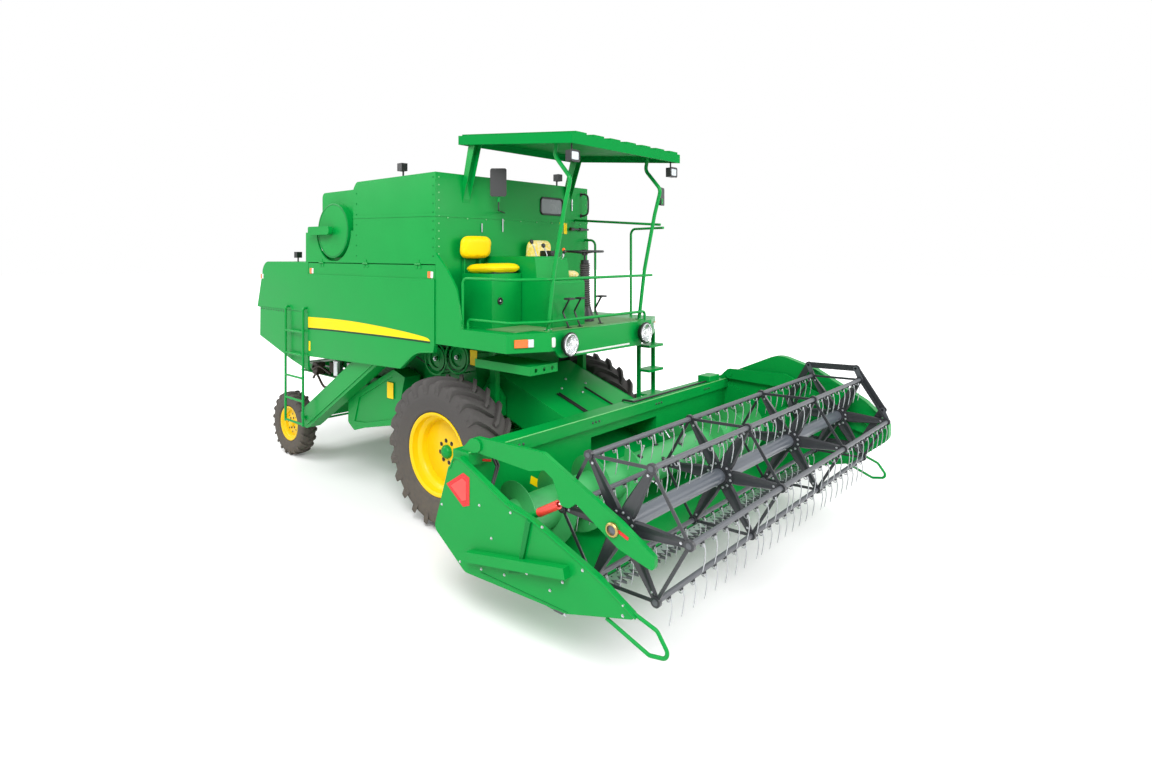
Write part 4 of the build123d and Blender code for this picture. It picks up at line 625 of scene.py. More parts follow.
def sweep(path: Array, section: Array, up: Sequence[float] = UPWARD, loop: bool = False,
          size: Array | None = None) -> Shape:
    """Section carried along a path.

    point = path + size * (side offset * across + up offset * rise), where across is up x tangent and rise is
    tangent x across.

    Args:
        path: (n, 3) points.
        section: (m, 2) offsets, side then up.
        up: a direction never along the path.
        loop: the path is closed.
        size: (n,) scale of the section at each point.

    Returns:
        The closed surface.
    """
    path = np.asarray(path, float)
    ahead = np.roll(path, -1, 0) - np.roll(path, 1, 0) if loop else np.gradient(path, axis=0)
    tangent = unit(ahead)
    across = unit(np.cross(np.asarray(up, float), tangent))
    rise = np.cross(tangent, across)
    scale = np.ones(len(path)) if size is None else np.asarray(size, float)
    offsets = section[None, :, :1] * across[:, None] + section[None, :, 1:] * rise[:, None]
    return Shape.grid(path[:, None] + scale[:, None, None] * offsets, loop, True, not loop)


def rod(start: Sequence[float], end: Sequence[float], radius: float, up: Sequence[float] = UPWARD) -> Shape:
    """Round bar from one place to another, with eight flats."""
    return sweep(np.array([start, end]), ring(radius, 8), up)


def plate(corners: Places, low: float, high: float, facing: str) -> Shape:
    """Flat outline given thickness.

    Args:
        corners: the outline in the two other axes, in order.
        low: depth of one face.
        high: depth of the other.
        facing: the axis across it, x, y or z.

    Returns:
        The closed plate.
    """
    outline = np.asarray(corners, float)
    index = "xyz".index(facing)
    rows = np.stack([np.insert(outline, index, depth, axis=1) for depth in (low, high)])
    return Shape.grid(rows, loop_columns=True, caps=True)


def film(outline: Places, face: float, thick: float, facing: str) -> Shape:
    """Thin plate that lies on a face and is sunk in it by a hair."""
    return plate(outline, face - SINK, face + thick, facing)


def box(low: Sequence[float], high: Sequence[float]) -> Shape:
    """Block between two corners."""
    outline = [(low[0], low[1]), (high[0], low[1]), (high[0], high[1]), (low[0], high[1])]
    return plate(outline, low[2], high[2], "z")


def bolts(places: Places, normal: Sequence[float], across: float = 0.016) -> Shape:
    """Hexagon heads on washers.

    Args:
        places: where each one's washer lies.
        normal: the way that they face.
        across: size of the head over its flats.

    Returns:
        All of them as one surface.
    """
    half = across / 2
    head = lathe([(-0.2 * half, 0), (-0.2 * half, half * 1.5), (half * 0.2, half * 1.5), (half * 0.2, half),
                  (half * 0.95, half), (half * 1.15, half * 0.8), (half * 1.15, 0)], ORIGIN, normal, 6)
    return head.copies(np.asarray(places, float))


def row_of(start: Sequence[float], end: Sequence[float], count: int) -> Array:
    """Evenly spaced places from start to end."""
    return np.linspace(np.asarray(start, float), np.asarray(end, float), count)


def piece(name: str, shape: Shape, finish: Finish, body: str, stands_for: Sequence[str] = (),
          edge: float = 0.0, crease: float = 38.0) -> bpy.types.Object:
    """The surface as an object on a body, moved from the axle to the frame's origin.

    Args:
        name: the piece's name.
        shape: its surface.
        finish: its finish.
        body: the body that it rides.
        stands_for: CAD nodes that it replaces.
        edge: bevel width, 0 for none.
        crease: angle in degrees past which an edge stays sharp.

    Returns:
        The object at the origin.
    """
    mesh = bpy.data.meshes.new(name)
    points = shape.points + (AXLE_X, 0, 0)
    mesh.vertices.add(len(points))
    mesh.vertices.foreach_set("co", points.astype(np.float32).ravel())
    wide = np.concatenate([np.full(len(face), face.shape[1]) for face in shape.faces])
    corners = np.concatenate([face.ravel() for face in shape.faces])
    mesh.loops.add(len(corners))
    mesh.loops.foreach_set("vertex_index", corners.astype(np.int32))
    mesh.polygons.add(len(wide))
    mesh.polygons.foreach_set("loop_start", np.concatenate([[0], np.cumsum(wide)[:-1]]).astype(np.int32))
    mesh.update(calc_edges=True)
    work = bmesh.new()
    work.from_mesh(mesh)
    bmesh.ops.remove_doubles(work, verts=work.verts, dist=WELD)
    bmesh.ops.recalc_face_normals(work, faces=work.faces)
    work.to_mesh(mesh)
    work.free()
    mesh.shade_smooth()
    mesh.set_sharp_from_angle(angle=math.radians(crease))
    made = bpy.data.objects.new(name, mesh)
    bpy.context.scene.collection.objects.link(made)
    mesh.materials.append(finish.material())
    if edge:
        bevel = made.modifiers.new("edge", "BEVEL")
        bevel.width, bevel.segments = edge, 2
        bevel.limit_method, bevel.angle_limit = "ANGLE", math.radians(35)
    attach(made, body)
    if stands_for:
        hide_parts(*stands_for)
    LOG.info("%s on %s: %d points", name, body, len(mesh.vertices))
    return made


# ---------------------------------------------------------------- wheels
class Side(Enum):
    """Which side of the machine a piece is on, as the sign of Y."""

    LEFT = 1
    RIGHT = -1

    @property
    def word(self) -> str:
        """The side as it stands in names."""
        return self.name.lower()

    def placed(self, shape: Shape) -> Shape:
        """A surface made for the left, as it is on this side."""
        return shape if self is Side.LEFT else shape.mirrored()


@dataclass
class Wheel:
    """Tyre with slanted bars on a dished rim.

    Attributes:
        where: front or rear.
        x: axle's place.
        y: middle of the wheel out from the centre line.
        radius: over the bars.
        carcass: radius under the bars.
        half: half width of the tyre.
        flange: radius of the rim's rolled edge.
        seat: radius that the tyre sits on.
        well: radius of the rim's deep middle.
        rim_half: half width of the rim.
        disc: how far out the disc's face lies.
        bars: number on each side.
        bar_width: width of a bar.
        bar_lean: how far round a bar runs on its way out.
        bar_past: how far it reaches past the centre line.
        hub: radius of the hole for the hub.
        studs: number of studs.
        stud_circle: radius that they stand on.
        stud_size: over their flats.
        hub_profile: the hub's section.
        hub_finish: the hub's finish.
        holes: number of hand holes.
        hole_circle: radius that they lie on.
        hole_radius: their own radius.
        steps: facets in a turn.
    """

    where: str
    x: float
    y: float
    radius: float
    carcass: float
    half: float
    flange: float
    seat: float
    well: float
    rim_half: float
    disc: float
    bars: int
    bar_width: float
    bar_lean: float
    bar_past: float
    hub: float
    studs: int
    stud_circle: float
    stud_size: float
    hub_profile: tuple[Pair, ...]
    hub_finish: Finish
    holes: int = 0
    hole_circle: float = 0.0
    hole_radius: float = 0.011
    steps: int = 128

    def place(self, shape: Shape, side: Side) -> Shape:
        """A left wheel's surface, made about the axle, at its place on either side."""
        return side.placed(shape).moved((self.x, side.value * self.y, self.radius))

    def carcass_shape(self) -> Shape:
        """Tyre wall and crown: a smooth half section, mirrored, turned about the axle, with raised rings."""
        side = self.half
        middle = (self.carcass + self.flange) / 2
        tall = self.carcass - self.flange
        corners = [(self.rim_half - 0.012, self.seat + 0.001), (self.rim_half - 0.009, self.flange + 0.004),
                   (self.rim_half + 0.004, self.flange + 0.014), (side * 0.95, self.flange + tall * 0.16),
                   (side * 0.995, middle - tall * 0.1), (side, middle + tall * 0.08),
                   (side * 0.965, self.flange + tall * 0.76), (side * 0.88, self.carcass - tall * 0.095),
                   (side * 0.68, self.carcass - tall * 0.03), (side * 0.35, self.carcass),
                   (0.0, self.carcass)]
        half = smooth_line(corners, 5)
        along = (half[:, 1] - self.flange) / tall
        rings = 0.0022 * sum(np.exp(-((along - at) / wide) ** 2) for at, wide in
                             ((0.09, 0.02), (0.14, 0.012), (0.52, 0.012), (0.56, 0.012)))
        half[:, 0] += np.where(half[:, 0] > side * 0.8, rings, 0)
        profile = np.concatenate([half, half[-2::-1] * (-1, 1)])
        return lathe(profile, ORIGIN, ALONG_Y, self.steps, loop=True)

    def bar_shape(self) -> Shape:
        """Tread bars: rounded ridges from past the centre line over the shoulder, turned as they go.

        Along a bar: width place y, top radius, foot radius, half width and turn; across it six corners from
        foot to foot. point = (r cos a, y, r sin a), with a = turn + half width / r.
        """
        tall = self.radius - self.carcass
        share = np.array([-self.bar_past / self.half, 0.1, 0.3, 0.5, 0.68, 0.83, 0.94, 1.0, 1.015, 1.0])
        top = self.radius - tall * np.array([0.35, 0.0, 0.0, 0.02, 0.09, 0.24, 0.5, 0.95, 1.6, 2.3])
        foot = self.carcass - tall * np.array([0.6, 0.6, 0.6, 0.6, 0.7, 1.0, 1.5, 2.2, 2.6, 2.9])
        wide = self.bar_width * np.array([0.36, 0.46, 0.47, 0.48, 0.5, 0.53, 0.57, 0.6, 0.58, 0.5])
        turn = np.degrees(self.bar_lean / self.radius) * (np.clip(share, 0, 1) ** 0.9 - 0.5)
        across = np.array([-1.3, -1.08, -0.9, 0.9, 1.08, 1.3])
        lift = np.array([0.0, 0.86, 1.0, 1.0, 0.86, 0.0])
        reach = foot[:, None] + (top - foot)[:, None] * lift
        angle = np.radians(turn)[:, None] + wide[:, None] * across / self.radius
        level = np.broadcast_to((share * self.half)[:, None], reach.shape)
        one = Shape.grid(np.stack([reach * np.cos(angle), level, reach * np.sin(angle)], -1),
                         False, True, True)
        spin = 360 * np.arange(self.bars) / self.bars + 180
        still = np.zeros((self.bars, 3))
        near = one.copies(still, about_y(spin + 180 / self.bars))
        return Shape.join([near, one.mirrored().copies(still, about_y(spin))])

    def rim_shape(self) -> Shape:
        """Rolled rim and dished disc: one closed section turned about the axle."""
        wall, half, disc = 0.008, self.rim_half, self.disc
        flange, seat, well = self.flange, self.seat, self.well
        outer = [(half + 0.002, flange - 0.006), (half, flange), (half - 0.008, flange),
                 (half - 0.011, seat + 0.004), (half - 0.02, seat), (half * 0.66, seat - 0.003),
                 (half * 0.58, seat - 0.008), (half * 0.46, well + 0.008), (half * 0.4, well)]
        back = [(-y, r) for y, r in reversed(outer)]
        back_under = [(-half + 0.003, seat), (-half + 0.012, seat - 0.01), (-half * 0.7, seat - 0.013)]
        under = [(-half * 0.4 - wall, well - wall), (disc - 0.05, well - wall), (disc - 0.026, well - 0.02),
                 (disc - 0.012, well - 0.05), (disc - 0.01, self.hub), (disc, self.hub), (disc, well - 0.055),
                 (disc - 0.012, well - 0.026), (disc - 0.012, well - wall * 1.2),
                 (half * 0.4 + wall, well - wall), (half * 0.52, well), (half * 0.62, seat - 0.018),
                 (half * 0.7, seat - 0.013), (half - 0.012, seat - 0.01), (half - 0.003, seat + 0.002),
                 (half + 0.002, flange - 0.012)]
        return lathe(outer + back + back_under + under, ORIGIN, ALONG_Y, self.steps, loop=True)

    def build(self) -> None:
        """Both tyres, rims, hubs and their studs."""
        turn = np.linspace(0, 2 * np.pi, self.studs, endpoint=False) + 0.2
        studs = around_y(self.stud_circle, turn, self.disc)
        # Black discs round the studs: painted shade of the nut recesses.
        nut_shade = drum(0.0005, -0.004, self.stud_size * 1.1, ORIGIN, ALONG_Y, 12).copies(studs)
        parts = [
            # word, surface, finish, crease, whether it stands for the CAD node of that word
            ("tyre", Shape.join([self.carcass_shape(), self.bar_shape()]), RUBBER, 42.0, True),
            ("rim", self.rim_shape(), YELLOW, 38.0, True),
            ("hub", lathe(self.hub_profile, ORIGIN, ALONG_Y, 40), self.hub_finish, 38.0, False),
            ("stud_seats", nut_shade, BLACK, 38.0, False),
            ("studs", bolts(studs, ALONG_Y, self.stud_size), SOOT, 30.0, False),
        ]
        if self.holes:
            turn = np.linspace(0, 2 * np.pi, self.holes, endpoint=False)
            # Black discs stand for the hand holes: their black is painted shade of the wheel's inside.
            holes = drum(0.0006, -0.004, self.hole_radius, ORIGIN, ALONG_Y, 16)
            parts.append(("hand_holes", holes.copies(around_y(self.hole_circle, turn, self.disc)), BLACK,
                          38.0, False))
        for side in Side:
            for word, shape, finish, crease, stands in parts:
                nodes = [f"{self.where}_{word}_{side.word}"] if stands else []
                piece(f"{self.where}_{word}_{side.word}_looks", self.place(shape, side), finish,
                      f"{self.where}_wheel_{side.word}", nodes, crease=crease)


FRONT_WHEEL = Wheel(
    where="front", x=0.0, y=1.095, radius=0.745, carcass=0.702, half=0.215, flange=0.407, seat=0.381,
    well=0.330, rim_half=0.195, disc=0.040, bars=23, bar_width=0.050, bar_lean=0.225, bar_past=0.018,
    hub=0.064, studs=8, stud_circle=0.107, stud_size=0.020, hub_finish=GREEN,
    hub_profile=((-0.07, 0.046), (-0.07, 0.09), (0.0, 0.09), (0.0, 0.15), (0.026, 0.15), (0.026, 0.066),
                 (0.064, 0.066), (0.082, 0.054), (0.096, 0.03), (0.098, 0.0)))
REAR_WHEEL = Wheel(
    where="rear", x=-3.240, y=0.975, radius=0.420, carcass=0.402, half=0.105, flange=0.228, seat=0.206,
    well=0.176, rim_half=0.084, disc=0.030, bars=21, bar_width=0.026, bar_lean=0.060, bar_past=0.006,
    hub=0.050, studs=6, stud_circle=0.072, stud_size=0.014, hub_finish=YELLOW, holes=8, hole_circle=0.118,
    hub_profile=((-0.07, 0.025), (-0.07, 0.052), (-0.01, 0.052), (-0.01, 0.07), (0.019, 0.07),
                 (0.031, 0.052), (0.042, 0.05), (0.06, 0.044), (0.072, 0.02), (0.073, 0.0)))


# ---------------------------------------------------------------- body panels
@dataclass
class SidePanels:
    """Stripe, reflectors, bolts and blank labels on the doors, tank and hood."""

    door_face: float = 1.272
    body_face: float = 1.260
    elevator_face: float = 1.0
    guard_face: float = 0.872
    film: float = 0.0012
    marker_half: float = 0.032
    stripe_top: tuple[Pair, ...] = ((-2.392, 1.925), (-1.9, 1.938), (-1.4, 1.938), (-0.9, 1.922),
                                    (-0.5, 1.9), (-0.25, 1.88), (-0.155, 1.868), (-0.115, 1.852))
    stripe_foot: tuple[Pair, ...] = ((-2.392, 1.795), (-1.9, 1.812), (-1.4, 1.823), (-0.9, 1.832),
                                     (-0.5, 1.836), (-0.25, 1.838), (-0.13, 1.838), (-0.105, 1.84))

    def stripe(self, side: Side) -> None:
        """Film between two curves along the door, and a thin dark line under it."""
        top, foot = smooth_line(self.stripe_top, 10), smooth_line(self.stripe_foot, 10)
        for word, upper, lower, finish in (("stripe", top, foot, TRIM_YELLOW),
                                           ("under_line", foot - (0, 0.004), foot - (0, 0.021), TRIM_DARK)):
            face = film(np.concatenate([upper, lower[::-1]]), self.door_face, self.film, "y")
            piece(f"{word}_{side.word}", side.placed(face), finish, f"side_door_{side.word}")

    def patch(self, name: str, low: Pair, high: Pair, face: float, side: Side, finish: Finish, body: str,
              thick: float = 0.0015) -> None:
        """Rounded thin plate on a side face.

        Args:
            name: the piece's name.
            low: its low corner (x, z).
            high: its high corner (x, z).
            face: how far out the face lies.
            side: which side it is on.
            finish: its finish.
            body: the body that it rides.
            thick: how far it stands out.
        """
        piece(name, side.placed(film(rounded(low, high, 0.006), face, thick, "y")), finish, body)

    def reflectors(self, side: Side) -> None:
        """Orange lens beside a pale one, in the corners of door and hood."""
        door = f"side_door_{side.word}"
        spots = (("door_front", -0.15, 2.495, door), ("door_rear", -2.365, 2.495, door),
                 ("hood", -3.645, 2.40, "machine"))
        for spot, x, z, body in spots:
            for word, start, end, finish, thick in (("", 0, 0.042, ORANGE_LENS, 0.006),
                                                    ("pale_", 0.044, 0.078, WHITE_STRIP, 0.005)):
                self.patch(f"marker_{word}{spot}_{side.word}", (x + start, z - self.marker_half),
                           (x + end, z + self.marker_half), self.body_face, side, finish, body, thick)

    def fasteners(self, side: Side) -> None:
        """Rows of small bolts: tank's front edge and seam, hood's seam."""
        face = side.value * (self.body_face + SINK)
        tank = np.concatenate([row_of((-0.075, face, 2.68), (-0.075, face, 3.46), 10),
                               row_of((-1.38, face, 2.68), (-1.38, face, 3.38), 7)])
        hood = row_of((-3.62, face, 1.958), (-3.02, face, 1.958), 10)
        normal = (0, side.value, 0)
        # The tank's side bolt heads are darker than the panel as painted shade.
        piece(f"tank_bolts_{side.word}", bolts(tank, normal, 0.011), GREEN_PAINTED_SHADE, "machine")
        piece(f"hood_bolts_{side.word}", bolts(hood, normal, 0.012), DARK_STEEL, "machine")

    def seams(self, side: Side) -> None:
        """Raised folded edges round the door's arch and along the hood's seam, the hood's seam darker green
        as painted shade.
        """
        arch = smooth_line([(-0.058, 1.735), (-0.2, 1.722), (-0.34, 1.688), (-0.46, 1.61),
                            (-0.585, 1.512)], 8)
        lower = np.concatenate([[(-2.40, 1.4445)], arch[::-1]])
        out = side.value * (self.door_face - 0.004)
        path = np.stack([lower[:, 0], np.full(len(lower), out), lower[:, 1] + 0.004], -1)
        piece(f"arch_fold_{side.word}", sweep(path, ring(0.007, 8), ALONG_Y), GREEN,
              f"side_door_{side.word}")
        out = side.value * self.body_face
        seam = rod((-3.70, out, 1.9815), (-2.42, out, 1.9815), 0.005)
        piece(f"hood_seam_{side.word}", seam, GREEN_PAINTED_SHADE, "machine")

    def build(self) -> None:
        """Everything on both sides, and the right side's labels with the stays of one."""
        for side in Side:
            self.stripe(side)
            self.reflectors(side)
            self.fasteners(side)
            self.seams(side)
            self.patch(f"label_door_{side.word}", (-2.378, 1.51), (-2.340, 1.63), self.door_face, side,
                       TRIM_YELLOW, f"side_door_{side.word}")
        for word, low, high, face in (("elevator", (-1.154, 1.08), (-1.042, 1.26), self.elevator_face),
                                      ("guard", (0.052, 1.580), (0.150, 1.732), self.guard_face)):
            self.patch(f"label_{word}", low, high, face, Side.RIGHT, TRIM_YELLOW, "machine")
        stays = [rod((x, -0.690, z), (x, -0.871, z), 0.006) for x, z in ((0.07, 1.61), (0.13, 1.7))]
        piece("label_guard_stays", Shape.join(stays), GREEN, "machine")


@dataclass
class TankFront:
    """Window seal, handle, latches, levers and labels on the tank's front wall."""

    face: float = -0.040
    window: tuple[Pair, Pair] = ((0.350, 3.160), (0.760, 3.350))

    def seal(self) -> None:
        """Black rubber round the pane: an oval section carried round the window's rounded outline."""
        line = rounded(*self.window, 0.045, 7)
        path = np.insert(line, 0, self.face + 0.003, axis=1)
        piece("window_seal", sweep(path, ring(0.011, 10, 0.014), ALONG_X, loop=True), BLACK, "machine")
        outline = rounded((0.358, 3.168), (0.752, 3.342), 0.038)
        glass = plate(outline, self.face - 0.012, self.face - 0.001, "x")
        piece("window_pane", glass, PANE, "machine", ("tank_window",))

    def handle(self) -> None:
        """Grab handle: a round bar bent out from the wall's left edge, on two feet."""
        face = self.face
        path = smooth_line([(face, 1.13, 3.43), (face + 0.05, 1.13, 3.43), (face + 0.085, 1.15, 3.40),
                            (face + 0.09, 1.155, 3.30), (face + 0.085, 1.15, 3.20), (face + 0.05, 1.13, 3.17),
                            (face, 1.13, 3.17)], 6)
        piece("tank_handle", sweep(path, ring(0.011, 10), ALONG_Y), BLACK, "machine")
        foot = lathe([(0, 0), (0, 0.024), (0.006, 0.024), (0.008, 0.012), (0.008, 0)], ORIGIN, ALONG_X, 16)
        feet = foot.copies(np.array([(face, 1.13, 3.43), (face, 1.13, 3.17)]))
        piece("tank_handle_feet", feet, BLACK, "machine")

    def levers(self) -> None:
        """Two dark sliding levers on rods near the rail, and light latch rods on the wall."""
        out, z = self.face + 0.028, 3.0
        bars = [rod((out, y, z), (out, y + 0.16, z), 0.012) for y in (0.90, 1.08)]
        knobs = [drum(-0.03, 0.03, 0.02, (out, y, z), ALONG_Y, 12) for y in (0.91, 1.09)]
        piece("tank_levers", Shape.join(bars + knobs), BLACK, "machine")
        out = self.face + 0.012
        latches = [rod((out, y, low), (out, y, high), 0.007, ALONG_Y)
                   for y, low, high in ((-0.62, 2.93, 3.02), (-0.30, 2.94, 3.08), (0.93, 3.22, 3.36))]
        piece("tank_latches", Shape.join(latches), BRIGHT_STEEL, "machine")

    def build(self) -> None:
        """The whole wall."""
        self.seal()
        self.handle()
        self.levers()
        labels = [film(rounded((y, 2.94), (y + 0.06, 3.09), 0.005), self.face, 0.0015, "x")
                  for y in (0.70, 0.785)]
        piece("tank_labels", Shape.join(labels), TRIM_YELLOW, "machine")
        out = self.face + SINK
        corner = [row_of((out, y, 2.70), (out, y, 3.46), 11) for y in (-1.215, 1.215)]
        seam = row_of((self.face + 0.0055, -1.1, 3.062), (self.face + 0.0055, 1.1, 3.062), 9)
        heads = bolts(np.concatenate(corner + [seam]), ALONG_X, 0.011)
        # The front bolts' pale green is a painted highlight.
        piece("tank_front_bolts", heads, BOLT_GREEN, "machine")


@dataclass
class Engine:
    """Screen's rim and hub, and filters and pipes that show behind the elevator."""

    screen: Triple = (-1.838, -1.260, 2.976)
    radius: float = 0.320

    def rim(self) -> None:
        """Rolled edge of the turning screen, darker green as painted shade, its pressed ring, and a black
        ring painted in the hub's mouth as its shade.
        """
        x, y, z = self.screen
        centre = (x, y + 0.038, z)
        outer = self.radius - 0.004
        edge = lathe([(0.012, outer), (0.055, outer), (0.058, self.radius - 0.012),
                      (0.0575, self.radius - 0.02), (0.0555, self.radius - 0.02),
                      (0.012, self.radius - 0.012)], centre, (0, -1, 0), 96, loop=True)
        piece("screen_edge", edge, GREEN_PAINTED_SHADE, "rotary_screen")
        # Black ring in the hub's mouth: painted shade.
        mouth = lathe([(0.0785, 0.0165), (0.0792, 0.0165), (0.0792, 0.03), (0.0785, 0.03)], centre,
                      (0, -1, 0), 32, loop=True)
        piece("screen_hub_mouth", mouth, BLACK, "rotary_screen")

    def filters(self) -> None:
        """Two canisters with domed ends, bent pipes and two housings, under the engine deck."""
        cans = (((-2.26, -0.93, 1.17), 0.052, 0.17, BRIGHT_STEEL),
                ((-2.02, -0.90, 1.19), 0.045, 0.15, WHITE_STRIP))
        for number, (place, radius, tall, finish) in enumerate(cans):
            can = lathe([(0, 0), (0, radius * 0.8), (0.012, radius), (tall, radius),
                         (tall + 0.008, radius * 1.08), (tall + 0.02, radius * 1.08),
                         (tall + 0.024, radius * 0.6), (tall + 0.03, 0)], place, UPWARD, 24)
            piece(f"filter_{number}", can, finish, "machine")
        lines = (((-2.95, -0.86, 1.05), (-2.80, -0.90, 1.12), (-2.62, -0.90, 0.98), (-2.45, -0.86, 1.02)),
                 ((-2.98, -0.84, 1.22), (-2.86, -0.92, 1.18), (-2.70, -0.92, 1.24), (-2.50, -0.88, 1.16)),
                 ((-2.45, -0.86, 1.02), (-2.35, -0.90, 1.10), (-2.30, -0.90, 1.24), (-2.26, -0.86, 1.30)))
        pipes = [sweep(smooth_line(line, 8), ring(0.016, 10), (0.1, 1, 0.2)) for line in lines]
        piece("engine_bay_pipes", Shape.join(pipes), SOOT, "machine")
        blocks = [box((-2.96, -0.87, 1.10), (-2.84, -0.74, 1.26)),
                  box((-2.60, -0.84, 1.16), (-2.48, -0.70, 1.30))]
        piece("engine_bay_housings", Shape.join(blocks), SOOT, "machine", edge=0.012)

    def build(self) -> None:
        """Screen trim and engine parts."""
        self.rim()
        self.filters()


# ---------------------------------------------------------------- platform
@dataclass
class Pad:
    """One padded part of a seat: a closed rounded slab, blown up as cloth, with a welt round it.

    Attributes:
        name: the pad's name.
        node: the CAD node that it helps to stand for.
        middle: its middle from the axle.
        half: half sizes in its own axes, thickness last.
        turn: degrees about Y that tip its face.
        finish: its finish.
        square: powers of the plan's and the edge's roundness, near 0 for a box and 1 for a ball.
        cap: the most that a point may move in the simulation.
        fill: how tight it is; not used.
        waist: share by which its sides are drawn in between the corners.
        voxel: size of the even mesh that the cloth starts from.
    """

    name: str
    node: str
    middle: Triple
    half: Triple
    turn: float
    finish: Finish
    square: Pair = (0.32, 0.6)
    cap: float = 0.010
    fill: float = 0.75
    waist: float = 0.03
    voxel: float = 0.006

    def slab(self) -> Shape:
        """Closed slab, with signs kept: powers of the sine and cosine of two angles u and v.

        x = a |cos v|^p |cos u|^q, y = b |sin v|^p |cos u|^q, z = c |sin u|^q, drawn in at the waist.
        """
        u = np.linspace(-np.pi / 2, np.pi / 2, 25)[:, None]
        v = np.linspace(-np.pi, np.pi, 96, endpoint=False)[None, :]

        def power(value: Array, exponent: float) -> Array:
            """Sign of the value times its size to a power."""
            return np.sign(value) * np.abs(value) ** exponent

        plan, edge = self.square
        wide = power(np.cos(u), edge)
        x, y = power(np.cos(v), plan) * wide, power(np.sin(v), plan) * wide
        x, y = x * (1 - self.waist * (1 - y ** 2)), y * (1 - self.waist * (1 - x ** 2))
        z = power(np.sin(u), edge) * np.ones_like(v)
        return Shape.grid(np.stack([x, y, z], -1) * self.half, loop_columns=True)

    def tip(self) -> Array:
        """The rotation about Y that tips the pad."""
        angle = math.radians(self.turn)
        c, s = math.cos(angle), math.sin(angle)
        return np.array([[c, 0, s], [0, 1, 0], [-s, 0, c]])

    def placed(self, shape: Shape) -> Shape:
        """The slab tipped about Y and carried to its middle."""
        return Shape(shape.points @ self.tip().T + self.middle, shape.faces)

    def blow_up(self, made: bpy.types.Object) -> None:
        """Remeshes the slab, runs cloth under inner pressure, and keeps each point near its start.

        Args:
            made: the pad, which keeps no modifier.
        """
        scene = bpy.context.scene
        remesh = made.modifiers.new("even", "REMESH")
        remesh.mode, remesh.voxel_size = "VOXEL", self.voxel
        graph = bpy.context.evaluated_depsgraph_get()
        mesh = bpy.data.meshes.new_from_object(made.evaluated_get(graph))
        made.modifiers.clear()
        made.data = mesh
        start = np.empty(len(mesh.vertices) * 3, np.float32)
        mesh.vertices.foreach_get("co", start)
        cloth = made.modifiers.new("pressure", "CLOTH")
        cloth.settings.use_pressure = True
        cloth.settings.uniform_pressure_force = 4.0
        cloth.settings.effector_weights.gravity = 0.0
        cloth.collision_settings.use_self_collision = False
        for number in range(1, 21):
            scene.frame_set(number)
        graph = bpy.context.evaluated_depsgraph_get()
        blown = bpy.data.meshes.new_from_object(made.evaluated_get(graph))
        end = np.empty(len(blown.vertices) * 3, np.float32)
        blown.vertices.foreach_get("co", end)
        made.modifiers.clear()
        scene.frame_set(1)
        step = (end - start).reshape(-1, 3)
        far = np.linalg.norm(step, axis=1, keepdims=True)
        step *= np.minimum(1, self.cap / np.maximum(far, 1e-9))
        mesh.vertices.foreach_set("co", (start.reshape(-1, 3) + step).ravel())
        mesh.update()
        moved = min(self.cap, float(far.max())) * 1000
        LOG.info("%s blown up: %d points, up to %.1f mm", self.name, len(far), moved)

    def welt(self, made: bpy.types.Object) -> None:
        """Piping round the pad's waist: a cord through its outermost points, one for each direction.

        Args:
            made: the pad that it goes round.
        """
        points = np.empty(len(made.data.vertices) * 3, np.float32)
        made.data.vertices.foreach_get("co", points)
        turn = self.tip()
        local = (points.reshape(-1, 3) - self.middle - (AXLE_X, 0, 0)) @ turn
        level = local[np.abs(local[:, 2]) < self.half[2] * 0.35]
        ways = np.linspace(-np.pi, np.pi, 120, endpoint=False)
        spokes = np.stack([np.cos(ways), np.sin(ways)], -1)
        outer = level[np.argmax(level[:, :2] @ spokes.T, axis=0)]
        line = np.concatenate([outer[:, :2], np.zeros((len(outer), 1))], 1)
        for _ in range(3):
            line = (np.roll(line, 1, 0) + 2 * line + np.roll(line, -1, 0)) / 4
        cord = sweep(line @ turn.T + self.middle, ring(0.0045, 8), turn @ (0, 0, 1), loop=True)
        piece(self.name + "_welt", cord, self.finish, "machine")

    def build(self) -> None:
        made = piece(self.name, self.placed(self.slab()), self.finish, "machine", (self.node,), crease=80)
        self.blow_up(made)
        made.data.shade_smooth()
        finer = made.modifiers.new("finer", "SUBSURF")
        finer.levels = finer.render_levels = 1
        self.welt(made)


@dataclass
class Seats:
    """Driver's and passenger's pads and the dark trays under them."""

    pads: tuple[Pad, ...] = (
        Pad("driver_cushion", "driver_seat", (0.275, 0.222, 2.468), (0.215, 0.205, 0.040), -3.0,
            FILMED_VINYL),
        Pad("driver_back", "driver_seat", (0.034, 0.222, 2.700), (0.165, 0.215, 0.036), -84.0, FILMED_VINYL,
            (0.5, 0.6)),
        Pad("passenger_cushion", "passenger_seat", (0.287, -0.780, 2.558), (0.222, 0.222, 0.040), -2.0, VINYL,
            (0.4, 0.62)),
        Pad("passenger_back", "passenger_seat", (0.040, -0.780, 2.770), (0.125, 0.225, 0.038), -84.0, VINYL,
            (0.62, 0.6)),
    )

    def build(self) -> None:
        """Pads, their trays and the driver's back brackets."""
        for pad in self.pads:
            pad.build()
        trays = [box((x - 0.16, y - 0.165, low), (x + 0.17, y + 0.165, high))
                 for x, y, low, high in ((0.27, 0.222, 2.418, 2.436), (0.28, -0.78, 2.506, 2.528))]
        piece("seat_trays", Shape.join(trays), BLACK, "machine", edge=0.006)
        lines = [smooth_line([(0.10, y, 2.41), (0.0, y, 2.41 + 0.01), (-0.012, y, 2.41 + 0.09)], 5)
                 for y in (0.13, 0.31)]
        brackets = [sweep(line, ring(0.010, 8), ALONG_Y) for line in lines]
        piece("driver_seat_brackets", Shape.join(brackets), BLACK, "machine")


